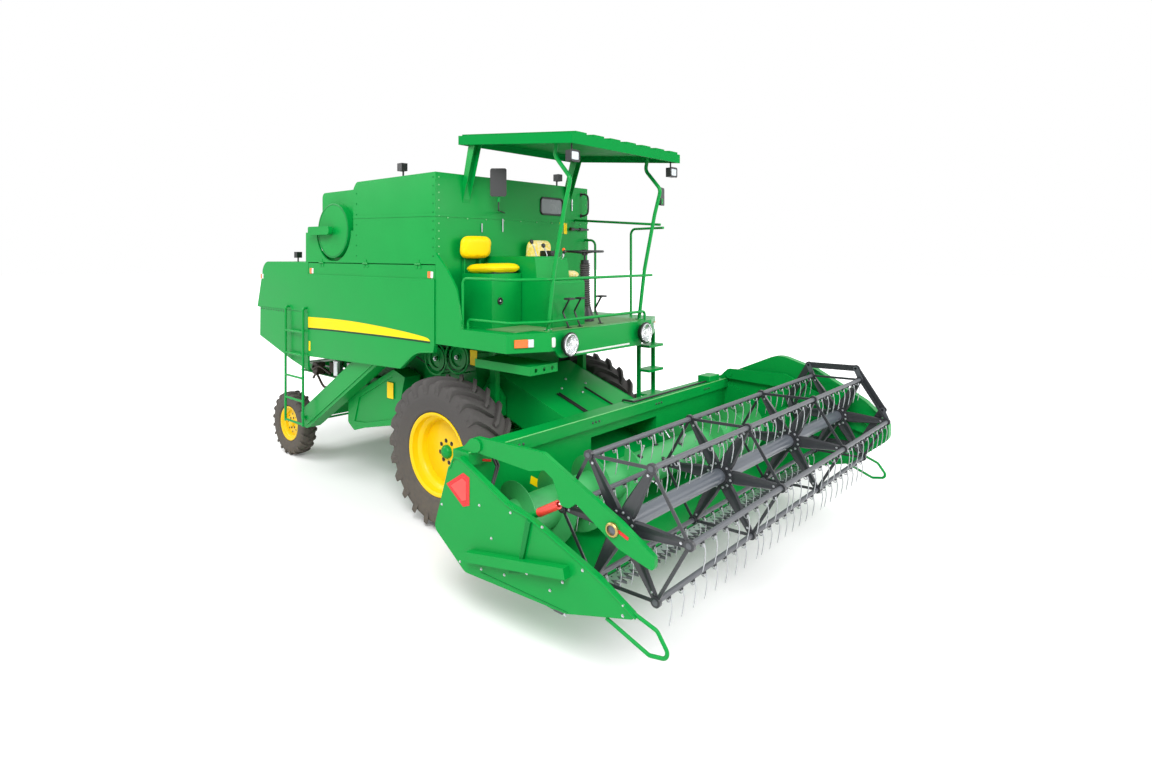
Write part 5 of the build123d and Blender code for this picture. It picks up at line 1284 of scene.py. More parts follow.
@dataclass
class Controls:
    """Bellows column, wheel's boss, pedal pads and the console's levers."""

    column: Pair = (0.670, 0.222)
    floor: float = 1.990
    sleeve_top: float = 2.60
    sleeve_ribs: int = 20
    pedal_places: tuple[Pair, ...] = ((0.970, -0.440), (0.980, -0.270), (0.950, 0.120))
    port_place: Triple = (0.470, -0.880, 2.247)

    def bellows(self) -> None:
        """Ribbed rubber sleeve: radius = mean + depth * cos(2 pi * ribs * share), wider at its foot."""
        share = np.linspace(0, 1, 181)
        low, high, foot = self.floor + 0.15, self.sleeve_top, (*self.column, 0)
        radius = 0.050 + 0.0055 * np.cos(2 * np.pi * self.sleeve_ribs * share) + 0.012 * (1 - share) ** 3
        wall = np.stack([low + (high - low) * share, radius], -1)
        profile = np.concatenate([[(low, 0.03)], wall, [(high, 0.03)]])
        piece("column_bellows", lathe(profile, foot, UPWARD, 40, loop=True), RUBBER, "machine", crease=60)
        floor = self.floor
        boot = lathe([(floor + 0.001, 0.043), (floor + 0.001, 0.10), (floor + 0.05, 0.095),
                      (floor + 0.13, 0.07), (floor + 0.16, 0.062), (floor + 0.165, 0.043)], foot, UPWARD, 32,
                     loop=True)
        piece("column_boot", boot, BLACK, "machine")
        boss = lathe([(2.748, 0.0), (2.748, 0.022), (2.742, 0.032), (2.700, 0.034), (2.69, 0.0)], foot,
                     UPWARD, 32)
        piece("wheel_boss", boss, BLACK, "steering_wheel")

    def pedals(self) -> None:
        """Flat ribbed pads on the pedals' ends."""
        low = self.floor + 0.272
        pads = [box((x - 0.035, y - 0.045, low), (x + 0.035, y + 0.045, self.floor + 0.288))
                for x, y in self.pedal_places]
        low, high = self.floor + 0.287, self.floor + 0.291
        ribs = [box((x - 0.03 + 0.012 * n, y - 0.04, low), (x - 0.024 + 0.012 * n, y + 0.04, high))
                for x, y in self.pedal_places for n in range(6)]
        piece("pedal_pads", Shape.join(pads + ribs), BLACK, "machine", edge=0.0015)

    def lever(self, foot: Triple, head: Triple, knob: float) -> tuple[Shape, Shape]:
        """A bent rod and its pear-shaped knob.

        Args:
            foot: where the rod leaves the console.
            head: the knob's middle.
            knob: the knob's radius.

        Returns:
            The rod and the knob.
        """
        start, end = np.array(foot), np.array(head)
        middle = (start + end) / 2 + (0.012, 0.0, -0.01)
        bar = sweep(smooth_line([start, middle, end], 6), ring(0.006, 8), (0, 1, 0.1))
        along = unit(end - middle)
        ball = lathe([(-knob * 1.1, 0), (-knob, knob * 0.5), (-knob * 0.4, knob * 0.85), (knob * 0.3, knob),
                      (knob * 0.85, knob * 0.75), (knob * 1.1, knob * 0.3), (knob * 1.15, 0)], end, along, 20)
        return bar, ball

    def console(self) -> None:
        """Three levers with black knobs, one with an orange knob, their box, and the seat box's socket."""
        black = [self.lever((0.50, -0.36, 2.66), (0.43, -0.36, 2.825), 0.022),
                 self.lever((0.57, -0.28, 2.66), (0.52, -0.28, 2.785), 0.022),
                 self.lever((0.60, -0.12, 2.62), (0.66, -0.12, 2.72), 0.017)]
        orange = self.lever((0.56, -0.06, 2.66), (0.60, -0.05, 2.745), 0.017)
        rods = [bar for bar, _ in black] + [orange[0]]
        piece("console_rods", Shape.join(rods), BRIGHT_STEEL, "machine")
        piece("console_knobs", Shape.join([ball for _, ball in black]), BLACK, "machine")
        piece("console_orange_knob", orange[1], ORANGE_LENS, "machine")
        piece("console_box", box((0.40, -0.20, 2.672), (0.56, -0.06, 2.735)), BLACK, "machine", edge=0.012)
        port = lathe([(0, 0), (0, 0.036), (0.008, 0.036), (0.011, 0.03), (0.008, 0.022), (-0.004, 0.02),
                      (-0.004, 0)], self.port_place, ALONG_X, 32)
        piece("seat_box_port", port, BLACK, "machine")
        core = lathe([(0, 0), (0, 0.012), (0.013, 0.010), (0.015, 0)], self.port_place, ALONG_X, 20)
        piece("seat_box_plug", core, BRIGHT_STEEL, "machine")

    def build(self) -> None:
        """All the controls."""
        self.bellows()
        self.pedals()
        self.console()


@dataclass
class Lamps:
    """Lenses, reflectors and rims of the lamps, and the deck's markers."""

    face_x: float = 1.080
    head_y: float = 0.650
    head_z: float = 1.870
    bowl: float = 0.0855
    roof: Triple = (1.340, 0.860, 3.560)
    reflector_y: float = 0.825
    wing: tuple[Pair, Pair] = ((0.900, 1.260), (1.080, 0.870))

    def headlamp(self, side: Side) -> None:
        """Black rim, chrome ring, faceted bright bowl with its cap, and a domed clear lens.

        The lens: depth = 0.0118 + 0.0055 * (1 - (radius / bowl) ^ 2).
        """
        bowl = self.bowl
        radius = np.linspace(0, bowl, 12)
        face = np.stack([0.0118 + 0.0055 * (1 - (radius / bowl) ** 2), radius], -1)
        centre = (self.face_x + 0.060, side.value * self.head_y, self.head_z)
        rows = (
            # word, section, facets, closed on itself, finish, crease
            ("rim", [(-0.052, 0.070), (-0.050, 0.078), (-0.006, 0.112), (0.008, 0.114), (0.0135, 0.110),
                     (0.0125, 0.090), (-0.012, 0.092)], 64, True, BLACK, 38),
            ("ring", [(0.010, 0.0845), (0.010, 0.103), (0.016, 0.101), (0.0185, 0.0905), (0.014, 0.0835)],
             64, True, CHROME, 38),
            ("bowl", [(0.0003, 0.0), (0.0008, 0.018), (0.0030, 0.045), (0.0060, 0.066), (0.0105, bowl),
                      (0.0003, bowl), (0.0003, 0.0)], 20, False, CHROME, 5),
            ("cap", [(0.0006, 0.0), (0.0006, 0.017), (0.0075, 0.016), (0.0085, 0.0)], 24, False,
             WHITE_STRIP, 38),
            ("lens", np.concatenate([face, face[::-1] - (0.0014, 0)]), 64, False, CLEAR_GLASS, 38),
        )
        for word, section, facets, closed, finish, crease in rows:
            piece(f"headlamp_{word}_{side.word}", lathe(section, centre, ALONG_X, facets, closed), finish,
                  "machine", crease=crease)

    def roof_lamp(self, side: Side) -> None:
        """Pale square lens with upright ribs, in the lamp's recess, and its rim."""
        x, y, z = self.roof[0], side.value * self.roof[1], self.roof[2]
        outline = rounded((y - 0.049, z - 0.035), (y + 0.049, z + 0.035), 0.012)
        lens = plate(outline, x + 0.001, x + 0.011, "x")
        piece(f"roof_lens_{side.word}", lens, PALE_LENS, "machine", edge=0.002)
        bars = [box((x + 0.0105, y + dy - 0.0012, z - 0.032), (x + 0.0125, y + dy + 0.0012, z + 0.032))
                for dy in np.linspace(-0.036, 0.036, 7)]
        piece(f"roof_lens_ribs_{side.word}", Shape.join(bars), PALE_LENS, "machine")
        outline = rounded((y - 0.062, z - 0.048), (y + 0.062, z + 0.048), 0.016, 6)
        rim = sweep(np.insert(outline, 0, x + 0.009, axis=1), ring(0.006, 8), ALONG_X, loop=True)
        piece(f"roof_lamp_rim_{side.word}", rim, BLACK, "machine")

    def indicators(self, side: Side) -> None:
        """White reflector outboard of the headlamp, and an orange and a pale block on the slanted wing."""
        y = side.value * self.reflector_y
        pale = film(rounded((y - 0.024, 1.855), (y + 0.024, 1.945), 0.014), self.face_x, 0.008, "x")
        piece(f"deck_reflector_{side.word}", pale, WHITE_STRIP, "machine", edge=0.002)
        start, end = np.array(self.wing)
        along = unit(end - start)
        out = np.array((-along[1], along[0]))
        out = (out if out[0] > 0 else -out) * 0.016
        for word, low, high, finish in (("orange", 0.075, 0.205, ORANGE_LENS),
                                        ("pale", 0.207, 0.262, PALE_LENS)):
            near, far = start + along * low, start + along * high
            block = plate([near, far, far + out, near + out], 1.868, 1.940, "z")
            piece(f"indicator_{word}_{side.word}", side.placed(block), finish, "machine", edge=0.004)

    def markers(self) -> None:
        """Indicators on both sides, the front edge's lower lip and its white strip."""
        for side in Side:
            self.indicators(side)
        apron = plate([(-0.800, 1.826), (-0.742, 1.758), (-0.700, 1.745), (0.620, 1.736), (0.665, 1.748),
                       (0.730, 1.826)], self.face_x - 0.022, self.face_x - 0.0002, "x")
        piece("deck_apron", apron, GREEN, "machine", edge=0.003)
        strip = film(rounded((-0.535, 1.763), (0.435, 1.780), 0.006, 3), self.face_x, 0.0015, "x")
        piece("deck_white_strip", strip, WHITE_STRIP, "machine")

    def build(self) -> None:
        """Every lamp and marker."""
        for side in Side:
            self.headlamp(side)
            self.roof_lamp(side)
        self.markers()


@dataclass
class DeckTrim:
    """Floor plate, bolts round the posts' feet and mirror clamps."""

    floor: float = 1.990

    def build(self) -> None:
        """Floor plate in two runs either side of the console, fittings and clamps."""
        top = self.floor + 0.003
        sheets = [box((0.02, -0.02, self.floor), (1.02, 0.84, top)),
                  box((0.86, -0.84, self.floor), (1.02, -0.03, top)),
                  box((0.50, -1.1, self.floor), (0.86, -0.56, top))]
        piece("deck_floor", Shape.join(sheets), FLOOR_STEEL, "machine")
        clamp = sleeve((-0.03, 0.03), 0.008, 0.014, ORIGIN, UPWARD, 16)
        clamps = clamp.copies(np.array([(0.140, -0.545, 3.27), (1.205, 0.862, 3.262)]))
        piece("mirror_clamps", clamps, GREEN, "machine")
        feet = [(0.984, side * 0.78, self.floor + 0.012) for side in (-1, 1)]
        around = [(x + 0.028 * math.cos(a), y + 0.028 * math.sin(a), z) for x, y, z in feet
                  for a in (0.8, 2.4, 3.9, 5.5)]
        piece("post_foot_bolts", bolts(around, UPWARD, 0.012), BRIGHT_STEEL, "machine")


# ---------------------------------------------------------------- header
@dataclass
class CrossAuger:
    """Tube, two smooth screw blades and the retracting fingers."""

    x: float = 1.620
    z: float = 0.750
    tube: float = 0.150
    reach: float = 0.280
    half: float = 2.055
    feed: float = 0.560
    pitch: float = 0.460
    blade: float = 0.005

    def flight(self, side: Side) -> Shape:
        """Blade from the end towards the middle.

        y runs from the end to the feed part, and angle = start - side * 360 * run / pitch. The point is
        (x + r cos, y, z + r sin), at the foot and the rim, each on both faces.
        """
        run = np.linspace(0, self.half - 0.012 - self.feed, 320)
        turn = np.radians((180.0 if side is Side.LEFT else 0.0) - side.value * 360 * run / self.pitch)
        radius = np.array([self.tube - 0.01, self.reach, self.reach, self.tube - 0.01])
        level = np.array([-0.5, -0.5, 0.5, 0.5]) * self.blade
        y = side.value * (self.half - 0.012 - run)[:, None] + level
        x = self.x + radius * np.cos(turn)[:, None]
        z = self.z + radius * np.sin(turn)[:, None]
        return Shape.grid(np.stack([x, y, z], -1), loop_columns=True, caps=True)

    def build(self) -> None:
        """Tube with its blades, the fingers, and the guides that they slide in."""
        tube = sleeve((-self.half, self.half), 0.031, self.tube, (self.x, 0, self.z), ALONG_Y, 64)
        number = np.arange(8)
        y = -self.feed + 0.09 + (2 * self.feed - 0.18) * number / 7
        turns = about_y(np.concatenate([number * 70, number * 70 + 180]))
        finger = lathe([(0.13, 0), (0.13, 0.009), (0.262, 0.009), (0.268, 0.005), (0.268, 0)], ORIGIN,
                       ALONG_X, 12)
        guide = lathe([(0.146, 0.0095), (0.146, 0.026), (0.158, 0.026), (0.162, 0.018), (0.162, 0.0095)],
                      ORIGIN, ALONG_X, 16, loop=True)
        places = np.stack([np.full(16, self.x), np.tile(y, 2), np.full(16, self.z)], -1)
        whole = Shape.join([tube, self.flight(Side.LEFT), self.flight(Side.RIGHT)])
        # The auger's lighter green is a painted highlight.
        piece("header_auger_looks", whole, AUGER_GREEN, "header_auger", ("header_auger",))
        piece("auger_fingers", finger.copies(places, turns), TINE_STEEL, "header_auger")
        piece("auger_finger_guides", guide.copies(places, turns), BLACK, "header_auger")


@dataclass
class HeaderTrim:
    """Knife, bolts, blank triangle, reflectors, folds and bearings of header, feeder and reel arms."""

    right_face: float = -2.200

    def knife(self) -> None:
        """Zigzag of knife sections over the fingers: points between the back and tip of each tooth."""
        pitch = 0.0762
        y = np.arange(-2.10, 2.09, pitch / 2)
        tip = np.arange(len(y)) % 2 == 0
        edge = np.stack([np.where(tip, 2.262, 2.205), y], -1)
        outline = np.concatenate([edge, [(2.170, y[-1]), (2.170, y[0])]])
        piece("knife_sections", plate(outline, 0.4105, 0.4135, "z"), BRIGHT_STEEL, "header")
        places = np.stack([np.full(len(y[::2]), 2.19), y[::2], np.full(len(y[::2]), 0.4135)], -1)
        piece("knife_rivets", bolts(places, (0, 0, 1), 0.010), DARK_STEEL, "header")

    def triangle(self) -> None:
        """Slow-vehicle triangle on the right panel: a red border round a paler middle, both blank."""
        corners = np.array([(1.152, 0.971), (1.334, 1.094), (1.399, 1.072), (1.399, 0.870),
                            (1.334, 0.844), (1.189, 0.943)])
        middle = corners.mean(0)
        face = self.right_face
        piece("triangle_border", plate(corners, face - 0.0030, face + SINK, "y"), RED_LENS, "header")
        inner = middle + (corners - middle) * 0.66
        piece("triangle_middle", plate(inner, face - 0.0042, face - 0.0025, "y"), PALE_RED, "header")

    def panel(self) -> None:
        """Bolts, hanging strut, folded line and bead on the outer face of the right panel; strut and folded
        line are darker green as painted shade.
        """
        face = self.right_face
        spots = ((1.743, 0.485), (1.945, 0.565), (2.245, 0.612), (2.143, 0.523), (2.265, 0.412),
                 (2.688, 0.571), (2.078, 0.913), (2.691, 0.633), (1.30, 0.43), (1.52, 0.45), (1.50, 0.90),
                 (1.62, 0.70), (1.10, 0.80), (2.40, 0.74), (1.80, 0.93))
        heads = bolts([(x, face, z) for x, z in spots], (0, -1, 0), 0.014)
        piece("panel_bolts", heads, BRIGHT_STEEL, "header")
        strut = plate([(1.954, 0.935), (1.993, 0.925), (1.905, 0.560), (1.795, 0.520), (1.800, 0.560),
                       (1.880, 0.585)], face - 0.022, face + SINK, "y")
        piece("panel_strut", strut, GREEN_PAINTED_SHADE, "header", edge=0.003)
        fold = rod((1.517, face, 0.426), (2.286, face, 0.434), 0.004, ALONG_Y)
        piece("panel_fold", fold, GREEN_PAINTED_SHADE, "header")
        path = smooth_line([(1.185, face, 1.092), (1.292, face, 1.184), (1.755, face, 0.978),
                            (1.985, face, 0.929), (2.50, face, 0.732), (2.775, face, 0.586)], 6)
        piece("panel_bead", sweep(path, ring(0.008, 8), ALONG_Y), GREEN, "header")

    def beam(self) -> None:
        """Thin bright strip on the beam's front edge as a painted highlight, end reflector, blank label and
        the box at its far end.
        """
        # A bright strip on the beam's top front edge as a painted highlight.
        lip = box((1.344, -2.155, 1.2285), (1.352, 2.075, 1.2365))
        piece("beam_lip", lip, BEAM_HIGHLIGHT_GREEN, "header", edge=0.0015)
        block = box((1.19, 1.70, 1.2295), (1.335, 1.95, 1.30))
        piece("beam_end_box", block, GREEN, "header", edge=0.008)
        label = plate([(-1.406, 0.883), (-1.22, 0.775), (-1.235, 0.713), (-1.42, 0.823)], 1.3095, 1.3120, "x")
        piece("back_sheet_label", label, TRIM_YELLOW, "header")
        light = plate([(-2.016, 1.143), (-1.925, 1.120), (-1.925, 1.138), (-2.016, 1.161)], 1.3495, 1.3535,
                      "x")
        piece("beam_end_reflector", light, RED_LENS, "header")
        rows = [row_of((1.3505, y - 0.05, 1.18), (1.3505, y + 0.05, 1.18), 3)
                for y in (-1.6, -0.55, 0.55, 1.6)]
        piece("beam_bolts", bolts(np.concatenate(rows), ALONG_X, 0.016), DARK_STEEL, "header")

    def feeder(self) -> None:
        """Four bolts on the feeder's sloping top, and a folded rib along each of its edges."""
        slope = math.radians(20.1)
        normal = (math.sin(slope), 0, math.cos(slope))
        spots = np.array([(0.498, 0.116, 1.365), (0.626, -0.117, 1.318), (0.630, 0.289, 1.317),
                          (0.753, 0.069, 1.272)])
        piece("feeder_bolts", bolts(spots, normal, 0.022), BRIGHT_STEEL, "header")
        ribs = [rod((0.32, y, 1.4284), (1.27, y, 1.0806), 0.006) for y in (-0.594, 0.594)]
        piece("feeder_edge_ribs", Shape.join(ribs), GREEN, "header")

    def arms(self) -> None:
        """Red reflector on the right reel arm, the reel's bearings and the right reel rod's red stop."""
        mark = plate([(2.600, 1.012), (2.672, 0.985), (2.680, 1.003), (2.608, 1.031)], -2.1235, -2.1195, "y")
        piece("arm_reflector", mark, RED_LENS, "reel_arms")
        for side in Side:
            y = side.value * 2.1205
            bearing = lathe([(0, 0.031), (0, 0.044), (0.016, 0.044), (0.022, 0.038), (0.022, 0.031)],
                            (2.567, y, 1.020), (0, side.value, 0), 32, loop=True)
            piece(f"arm_bearing_{side.word}", bearing, BRASS, "reel_arms")
        base, eye = np.array((1.700, -2.1025, 0.787)), np.array((2.200, -2.1025, 1.090))
        along = unit(eye - base)
        collar = sleeve((0, 0.19), 0.0185, 0.030, base + along * 0.32, along, 24)
        piece("reel_rod_stop", collar, STOP_RED, "reel_rods")

    def build(self) -> None:
        """All of it."""
        self.knife()
        self.triangle()
        self.panel()
        self.beam()
        self.feeder()
        self.arms()


# ---------------------------------------------------------------- reel
@dataclass
class Reel:
    """Central tube with four spiders, and six bats hung with spring tines."""

    x: float = 2.567
    z: float = 1.020
    radius: float = 0.454
    phase: float = 2.0
    half: float = 2.050
    tube: float = 0.055
    bat: float = 0.0175
    spiders: tuple[float, ...] = (-2.030, -0.68333, 0.68333, 2.005)
    wire: float = 0.0038
    coil: float = 0.0135
    count: int = 26
    pitch: float = 0.152
    crank: Pair = (-0.045, 0.105)

    def arm(self) -> Shape:
        """One spider arm along +X: a shallow folded channel that narrows outwards.

        point = (r, side * half width(r), depth) with half width falling from the hub to the bearing.
        """
        r = np.array([0.04, 0.10, 0.15, 0.25, 0.35, 0.440])
        wide = np.interp(r, [0.04, 0.10, 0.15, 0.454], [0.034, 0.052, 0.052, 0.021])
        side = np.array([-1, -0.80, -0.12, 0.12, 0.80, 1, 1, 0.74, 0.10, -0.10, -0.74, -1])
        depth = np.array([0.012, -0.002, 0.005, 0.005, -0.002, 0.012, 0.009, -0.005, 0.0015, 0.0015,
                          -0.005, 0.009])
        rows = np.stack([np.broadcast_to(r[:, None], (6, 12)), np.broadcast_to(depth, (6, 12)),
                         wide[:, None] * side], -1)
        return Shape.grid(rows, loop_columns=True, caps=True)

    def spider(self) -> Shape:
        """Hub disc, six arms, braces between their ends and the bats' bearings, about the reel's axis."""
        hub = sleeve((-0.010, 0.010), 0.05, 0.105, ORIGIN, ALONG_Y, 40)
        collar = sleeve((-0.026, 0.026), 0.05, 0.066, ORIGIN, ALONG_Y, 32)
        bearing = sleeve((-0.013, 0.013), 0.0180, 0.032, ORIGIN, ALONG_Y, 20)
        flat, reach = self.radius * math.cos(math.radians(30)), self.radius / 2 - 0.022
        brace = box((flat - 0.011, -0.004, -reach), (flat + 0.011, 0.004, reach))
        spin = self.phase + 60 * np.arange(6)
        turns, still = about_y(spin), np.zeros((6, 3))
        tips = turns @ (self.radius, 0, 0)
        return Shape.join([hub, collar, self.arm().copies(still, turns), bearing.copies(tips),
                           brace.copies(still, about_y(spin + 30))])

    def core(self) -> None:
        """Tube, journals and spiders, with their bolts."""
        ends = [(-2.128, 0), (-2.128, 0.03), (-self.half, 0.03), (-self.half, self.tube)]
        profile = ends + [(-y, r) for y, r in reversed(ends)]
        tube = lathe(profile, ORIGIN, ALONG_Y, 40)
        places = np.array([(0, y, 0) for y in self.spiders])
        centre = (self.x, 0, self.z)
        piece("reel_core_looks", self.spider().copies(places + centre), REEL_GREY, "reel_core",
              ("reel_core",), crease=30)
        piece("reel_tube_looks", tube.moved(centre), TUBE_GREY, "reel_core")
        angle = np.radians(self.phase + 60 * np.arange(6)[:, None] + np.array([-14.0, 14.0])).ravel()
        tips = around_y(self.radius - 0.055, angle[::2] + math.radians(14))
        for name, circle, out, across in (("spider_bolts", around_y(0.088, angle), -0.0105, 0.014),
                                          ("spider_tip_bolts", tips, -0.001, 0.012)):
            heads = (circle[None] + places[:, None] + (0, out, 0)).reshape(-1, 3) + centre
            piece(name, bolts(heads, (0, -1, 0), across), BRIGHT_STEEL, "reel_core")

    def tine(self) -> Shape:
        """Spring tine in a bat's own frame: foot on the tube, one and a quarter turns, a knee and a leg.

        Coil: (cx + c cos a, rise * a, cz + c sin a), then a smooth leg.
        """
        cx, cz = 0.006, -self.bat - 0.012
        angle = np.radians(np.linspace(90, -360, 28))
        share = np.linspace(0, 1, 28)
        coil = np.stack([cx + self.coil * np.cos(angle), -0.009 + 0.018 * share,
                         cz + self.coil * np.sin(angle)], -1)
        foot = np.array([(cx - 0.020, -0.009, cz + self.coil)])
        leg = smooth_line([coil[-1], (0.0255, 0.009, -0.070), (0.0225, 0.009, -0.112),
                           (0.0165, 0.009, -0.150), (0.0085, 0.009, -0.193)], 3)
        path = np.concatenate([foot, coil[:-1], leg])
        size = np.interp(np.arange(len(path)), [0, len(path) - 4, len(path) - 1], [1, 1, 0.6])
        return sweep(path, ring(self.wire, 6), (0.03, 1, 0.02), size=size)

    def bats(self) -> None:
        """Six bats, each with its tube and crank, its tines and their clips."""
        y = np.arange(self.count) * self.pitch - (self.count - 1) * self.pitch / 2
        near = np.min(np.abs(y[:, None] - np.array(self.spiders)), axis=1) < 0.034
        y = y + np.where(near, 0.060, 0)
        rows = np.stack([np.zeros(self.count), y, np.zeros(self.count)], -1)
        tines = self.tine().copies(rows)
        out, up = self.crank
        tube = drum(0.005 - self.half, self.half - 0.010, self.bat, ORIGIN, ALONG_Y, 20)
        bar = plate(rounded((-0.022, -0.022), (math.hypot(out, up) + 0.022, 0.022), 0.0215, 6),
                    self.half - 0.020, self.half - 0.010, "y")
        bar = bar.copies(np.zeros((1, 3)), about_y(math.degrees(math.atan2(up, out))))
        pin = drum(self.half - 0.020, self.half + 0.012, 0.011, (out, 0, up), ALONG_Y, 20)
        clip = plate(rounded((-0.010, -0.024), (0.018, -0.004), 0.004, 3), -0.014, 0.014, "y").copies(rows)
        heads = bolts(rows + (0.018, 0, -0.013), ALONG_X, 0.010)
        for number in range(6):
            angle = math.radians(self.phase + 60 * number)
            place = (self.x + self.radius * math.cos(angle), 0, self.z + self.radius * math.sin(angle))
            body = f"reel_bat_{number + 1}"
            piece(f"{body}_looks", Shape.join([tube, bar, pin]).moved(place), BAT_GREY, body, (body,))
            piece(f"{body}_tines", tines.moved(place), TINE_STEEL, body, crease=60)
            piece(f"{body}_clips", Shape.join([clip, heads]).moved(place), REEL_GREY, body)

    def build(self) -> None:
        """Core and bats."""
        self.core()
        self.bats()


@dataclass
class Belts:
    """Grooved pulleys, their rubber belts and the hoops round the front two, on both sides of the body."""

    hull: float = 0.690
    near: float = 0.800
    pulleys: tuple[tuple[float, float, float, float], ...] = (
        (-0.160, 1.630, 0.130, 0.022), (-0.490, 1.580, 0.130, 0.022), (-1.250, 1.900, 0.190, 0.025))

    def pulley(self, x: float, z: float, radius: float, shaft: float) -> Shape:
        """Two-grooved rim, thin web with a hub, and the shaft: one closed section turned about Y."""
        web = radius - 0.030
        profile = [(0.0, 0.0), (0.0, shaft), (0.105, shaft), (0.105, shaft + 0.022), (0.128, shaft + 0.022),
                   (0.132, web), (0.110, web), (0.110, radius), (0.116, radius), (0.121, radius - 0.012),
                   (0.129, radius - 0.012), (0.134, radius), (0.138, radius), (0.143, radius - 0.012),
                   (0.151, radius - 0.012), (0.156, radius), (0.160, radius), (0.160, web), (0.142, web),
                   (0.146, shaft + 0.022), (0.152, shaft + 0.022), (0.152, shaft), (0.173, shaft),
                   (0.175, 0.0)]
        return lathe(profile, (x, self.hull, z), ALONG_Y, 48)

    def belt(self, first: int, second: int, groove: float) -> Shape:
        """Belt round two pulleys: in each direction, the circle that reaches further gives the point.

        point = centre + radius * direction.
        """
        xa, za, ra, _ = self.pulleys[first]
        xb, zb, rb, _ = self.pulleys[second]
        angle = np.linspace(0, 2 * np.pi, 120, endpoint=False)
        away = np.stack([np.cos(angle), np.sin(angle)], -1)
        places, reach = np.array([(xa, za), (xb, zb)]), np.array([ra, rb]) - 0.004
        which = np.argmax(away @ places.T + reach, axis=1)
        line = places[which] + reach[which][:, None] * away
        path = np.insert(line, 1, self.hull + groove, axis=1)
        section = np.array([(-0.0045, -0.005), (0.0045, -0.005), (0.0065, 0.005), (-0.0065, 0.005)])
        return sweep(path, section[:, ::-1], ALONG_Y, loop=True)

    def guard(self, x: float, z: float, radius: float) -> Shape:
        """Round hoop on three stays out of the hull."""
        y = self.near + 0.060
        hoop = around_y(radius, np.linspace(0, 2 * np.pi, 72, endpoint=False), y) + (x, 0, z)
        places = [(x + radius * math.cos(a), z + radius * math.sin(a)) for a in np.radians((40, 160, 280))]
        stays = [rod((across, self.hull - 0.002, up), (across, y, up), 0.007) for across, up in places]
        return Shape.join([sweep(hoop, ring(0.012, 8, 0.008), ALONG_Y, loop=True)] + stays)

    def build(self) -> None:
        """Both sides; the pulleys stand for the CAD node."""
        metal = Shape.join([self.pulley(*row) for row in self.pulleys] +
                           [self.guard(x, z, r + 0.038) for x, z, r, _ in self.pulleys[:2]])
        rubber = Shape.join([self.belt(0, 1, 0.125), self.belt(1, 2, 0.147)])
        bolt = bolts([(x, self.hull + 0.175, z) for x, z, _, _ in self.pulleys], ALONG_Y, 0.034)
        piece("belt_pulleys", Shape.join([metal, metal.mirrored()]), GREEN, "machine", ("drive_belts",))
        piece("belts", Shape.join([rubber, rubber.mirrored()]), BELT, "machine")
        piece("pulley_bolts", Shape.join([bolt, bolt.mirrored()]), BRIGHT_STEEL, "machine")


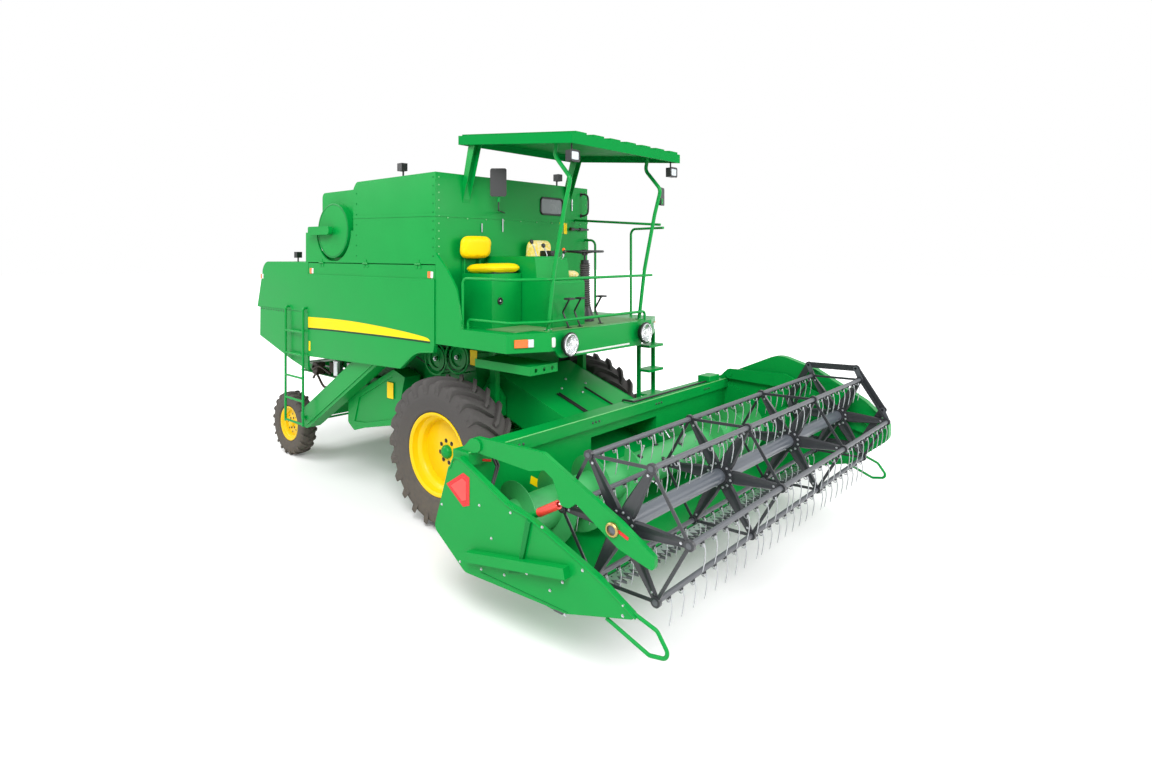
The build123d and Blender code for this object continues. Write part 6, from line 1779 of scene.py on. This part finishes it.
# ---------------------------------------------------------------- stage, light, camera
@dataclass
class Studio:
    """White sweep, soft lamps and the camera."""

    eye: Triple = (4.86, -5.59, 2.70)
    azimuth: float = 45.9
    focal: float = 20.81
    sensor: float = 36.0
    shift: Pair = (0.0955, -0.1128)
    floor_half: float = 90.0
    floor_glow: float = 0.06
    glow_from: float = 2.6
    glow_to: float = 8.0
    sky: float = 0.54
    lamps: tuple = field(default_factory=lambda: (
        # place from the axle, aim, size, watts
        ((5.5, -7.5, 8.5), (-0.4, 0.0, 1.2), 5.0, 1080.0),
        ((8.5, 4.0, 6.0), (0.5, 0.0, 1.0), 5.0, 460.0),
        ((-7.0, -4.5, 7.0), (-1.5, 0.0, 1.5), 5.0, 420.0),
    ))

    @staticmethod
    def seen(tree: bpy.types.NodeTree) -> bpy.types.NodeSocket:
        """Socket that is 1 for camera, gloss and glass rays and 0 for others."""
        path = tree.nodes.new("ShaderNodeLightPath")
        level = path.outputs["Is Camera Ray"]
        for kind in ("Is Glossy Ray", "Is Transmission Ray"):
            either = tree.nodes.new("ShaderNodeMath")
            either.operation = "MAXIMUM"
            tree.links.new(level, either.inputs[0])
            tree.links.new(path.outputs[kind], either.inputs[1])
            level = either.outputs[0]
        return level

    def floor(self) -> None:
        """Flat square on the ground, matt white with a little light of its own for the camera."""
        half = self.floor_half
        mesh = bpy.data.meshes.new("floor")
        mesh.from_pydata([(-half, -half, 0), (half, -half, 0), (half, half, 0), (-half, half, 0)], [],
                         [(0, 1, 2, 3)])
        piece = bpy.data.objects.new("floor", mesh)
        bpy.context.scene.collection.objects.link(piece)
        made = bpy.data.materials.new("studio_floor")
        made.use_nodes = True
        tree = made.node_tree
        tree.nodes.clear()
        matt = tree.nodes.new("ShaderNodeBsdfDiffuse")
        matt.inputs["Color"].default_value = (0.86, 0.86, 0.86, 1)
        glow = tree.nodes.new("ShaderNodeEmission")
        power = tree.nodes.new("ShaderNodeMath")
        power.operation = "MULTIPLY"
        place = tree.nodes.new("ShaderNodeTexCoord")
        far = tree.nodes.new("ShaderNodeVectorMath")
        far.operation = "LENGTH"
        tree.links.new(place.outputs["Object"], far.inputs[0])
        grows = tree.nodes.new("ShaderNodeMapRange")
        tree.links.new(far.outputs["Value"], grows.inputs["Value"])
        for label, level in (("From Min", self.glow_from), ("From Max", self.glow_to),
                             ("To Min", self.floor_glow)):
            grows.inputs[label].default_value = level
        tree.links.new(self.seen(tree), power.inputs[0])
        tree.links.new(grows.outputs["Result"], power.inputs[1])
        tree.links.new(power.outputs[0], glow.inputs["Strength"])
        both = tree.nodes.new("ShaderNodeAddShader")
        tree.links.new(matt.outputs[0], both.inputs[0])
        tree.links.new(glow.outputs[0], both.inputs[1])
        out = tree.nodes.new("ShaderNodeOutputMaterial")
        tree.links.new(both.outputs[0], out.inputs["Surface"])
        mesh.materials.append(made)

    def world(self) -> None:
        """Even sky that is white where the camera, gloss or glass sees it, and softer as a light."""
        world = bpy.data.worlds.new("studio_sky")
        bpy.context.scene.world = world
        world.use_nodes = True
        tree = world.node_tree
        back = tree.nodes["Background"]
        level = tree.nodes.new("ShaderNodeMapRange")
        level.inputs["To Min"].default_value = self.sky
        level.inputs["To Max"].default_value = 1.0
        tree.links.new(self.seen(tree), level.inputs["Value"])
        tree.links.new(level.outputs["Result"], back.inputs["Strength"])
        back.inputs["Color"].default_value = (1, 1, 1, 1)

    def lights(self) -> None:
        """Square soft boxes, each aimed at a point."""
        for number, (place, aim, size, watts) in enumerate(self.lamps):
            data = bpy.data.lights.new(f"soft_box_{number}", "AREA")
            data.size = size
            data.energy = watts
            lamp = bpy.data.objects.new(f"soft_box_{number}", data)
            bpy.context.scene.collection.objects.link(lamp)
            lamp.location = Vector(place) + Vector((AXLE_X, 0, 0))
            lamp.rotation_euler = (Vector(aim) - Vector(place)).to_track_quat("-Z", "Y").to_euler()

    def camera(self) -> None:
        """Level camera at eye height on the platform's side."""
        data = bpy.data.cameras.new("camera")
        data.lens, data.sensor_width = self.focal, self.sensor
        data.shift_x, data.shift_y = self.shift
        data.clip_end = 400.0
        camera = bpy.data.objects.new("camera", data)
        bpy.context.scene.collection.objects.link(camera)
        camera.location = (self.eye[0] + AXLE_X, self.eye[1], self.eye[2])
        camera.rotation_euler = (math.radians(90), 0, math.radians(self.azimuth))
        bpy.context.scene.camera = camera

    def build(self) -> None:
        """Floor, sky, lamps, camera and the plain view transform."""
        self.floor()
        self.world()
        self.lights()
        self.camera()
        bpy.context.scene.view_settings.view_transform = "Standard"


def main() -> None:
    """Builds the studio and every dressed sub-assembly in order."""
    logging.basicConfig(level=logging.INFO, format="%(name)s: %(message)s")
    dress_nodes()
    parts = (FRONT_WHEEL, REAR_WHEEL, SidePanels(), TankFront(), Engine(), Belts(), Seats(), Controls(),
             Lamps(), DeckTrim(), HeaderTrim(), CrossAuger(), Reel())
    for part in parts:
        part.build()
    Studio().build()


if __name__ == "__main__":
    main()
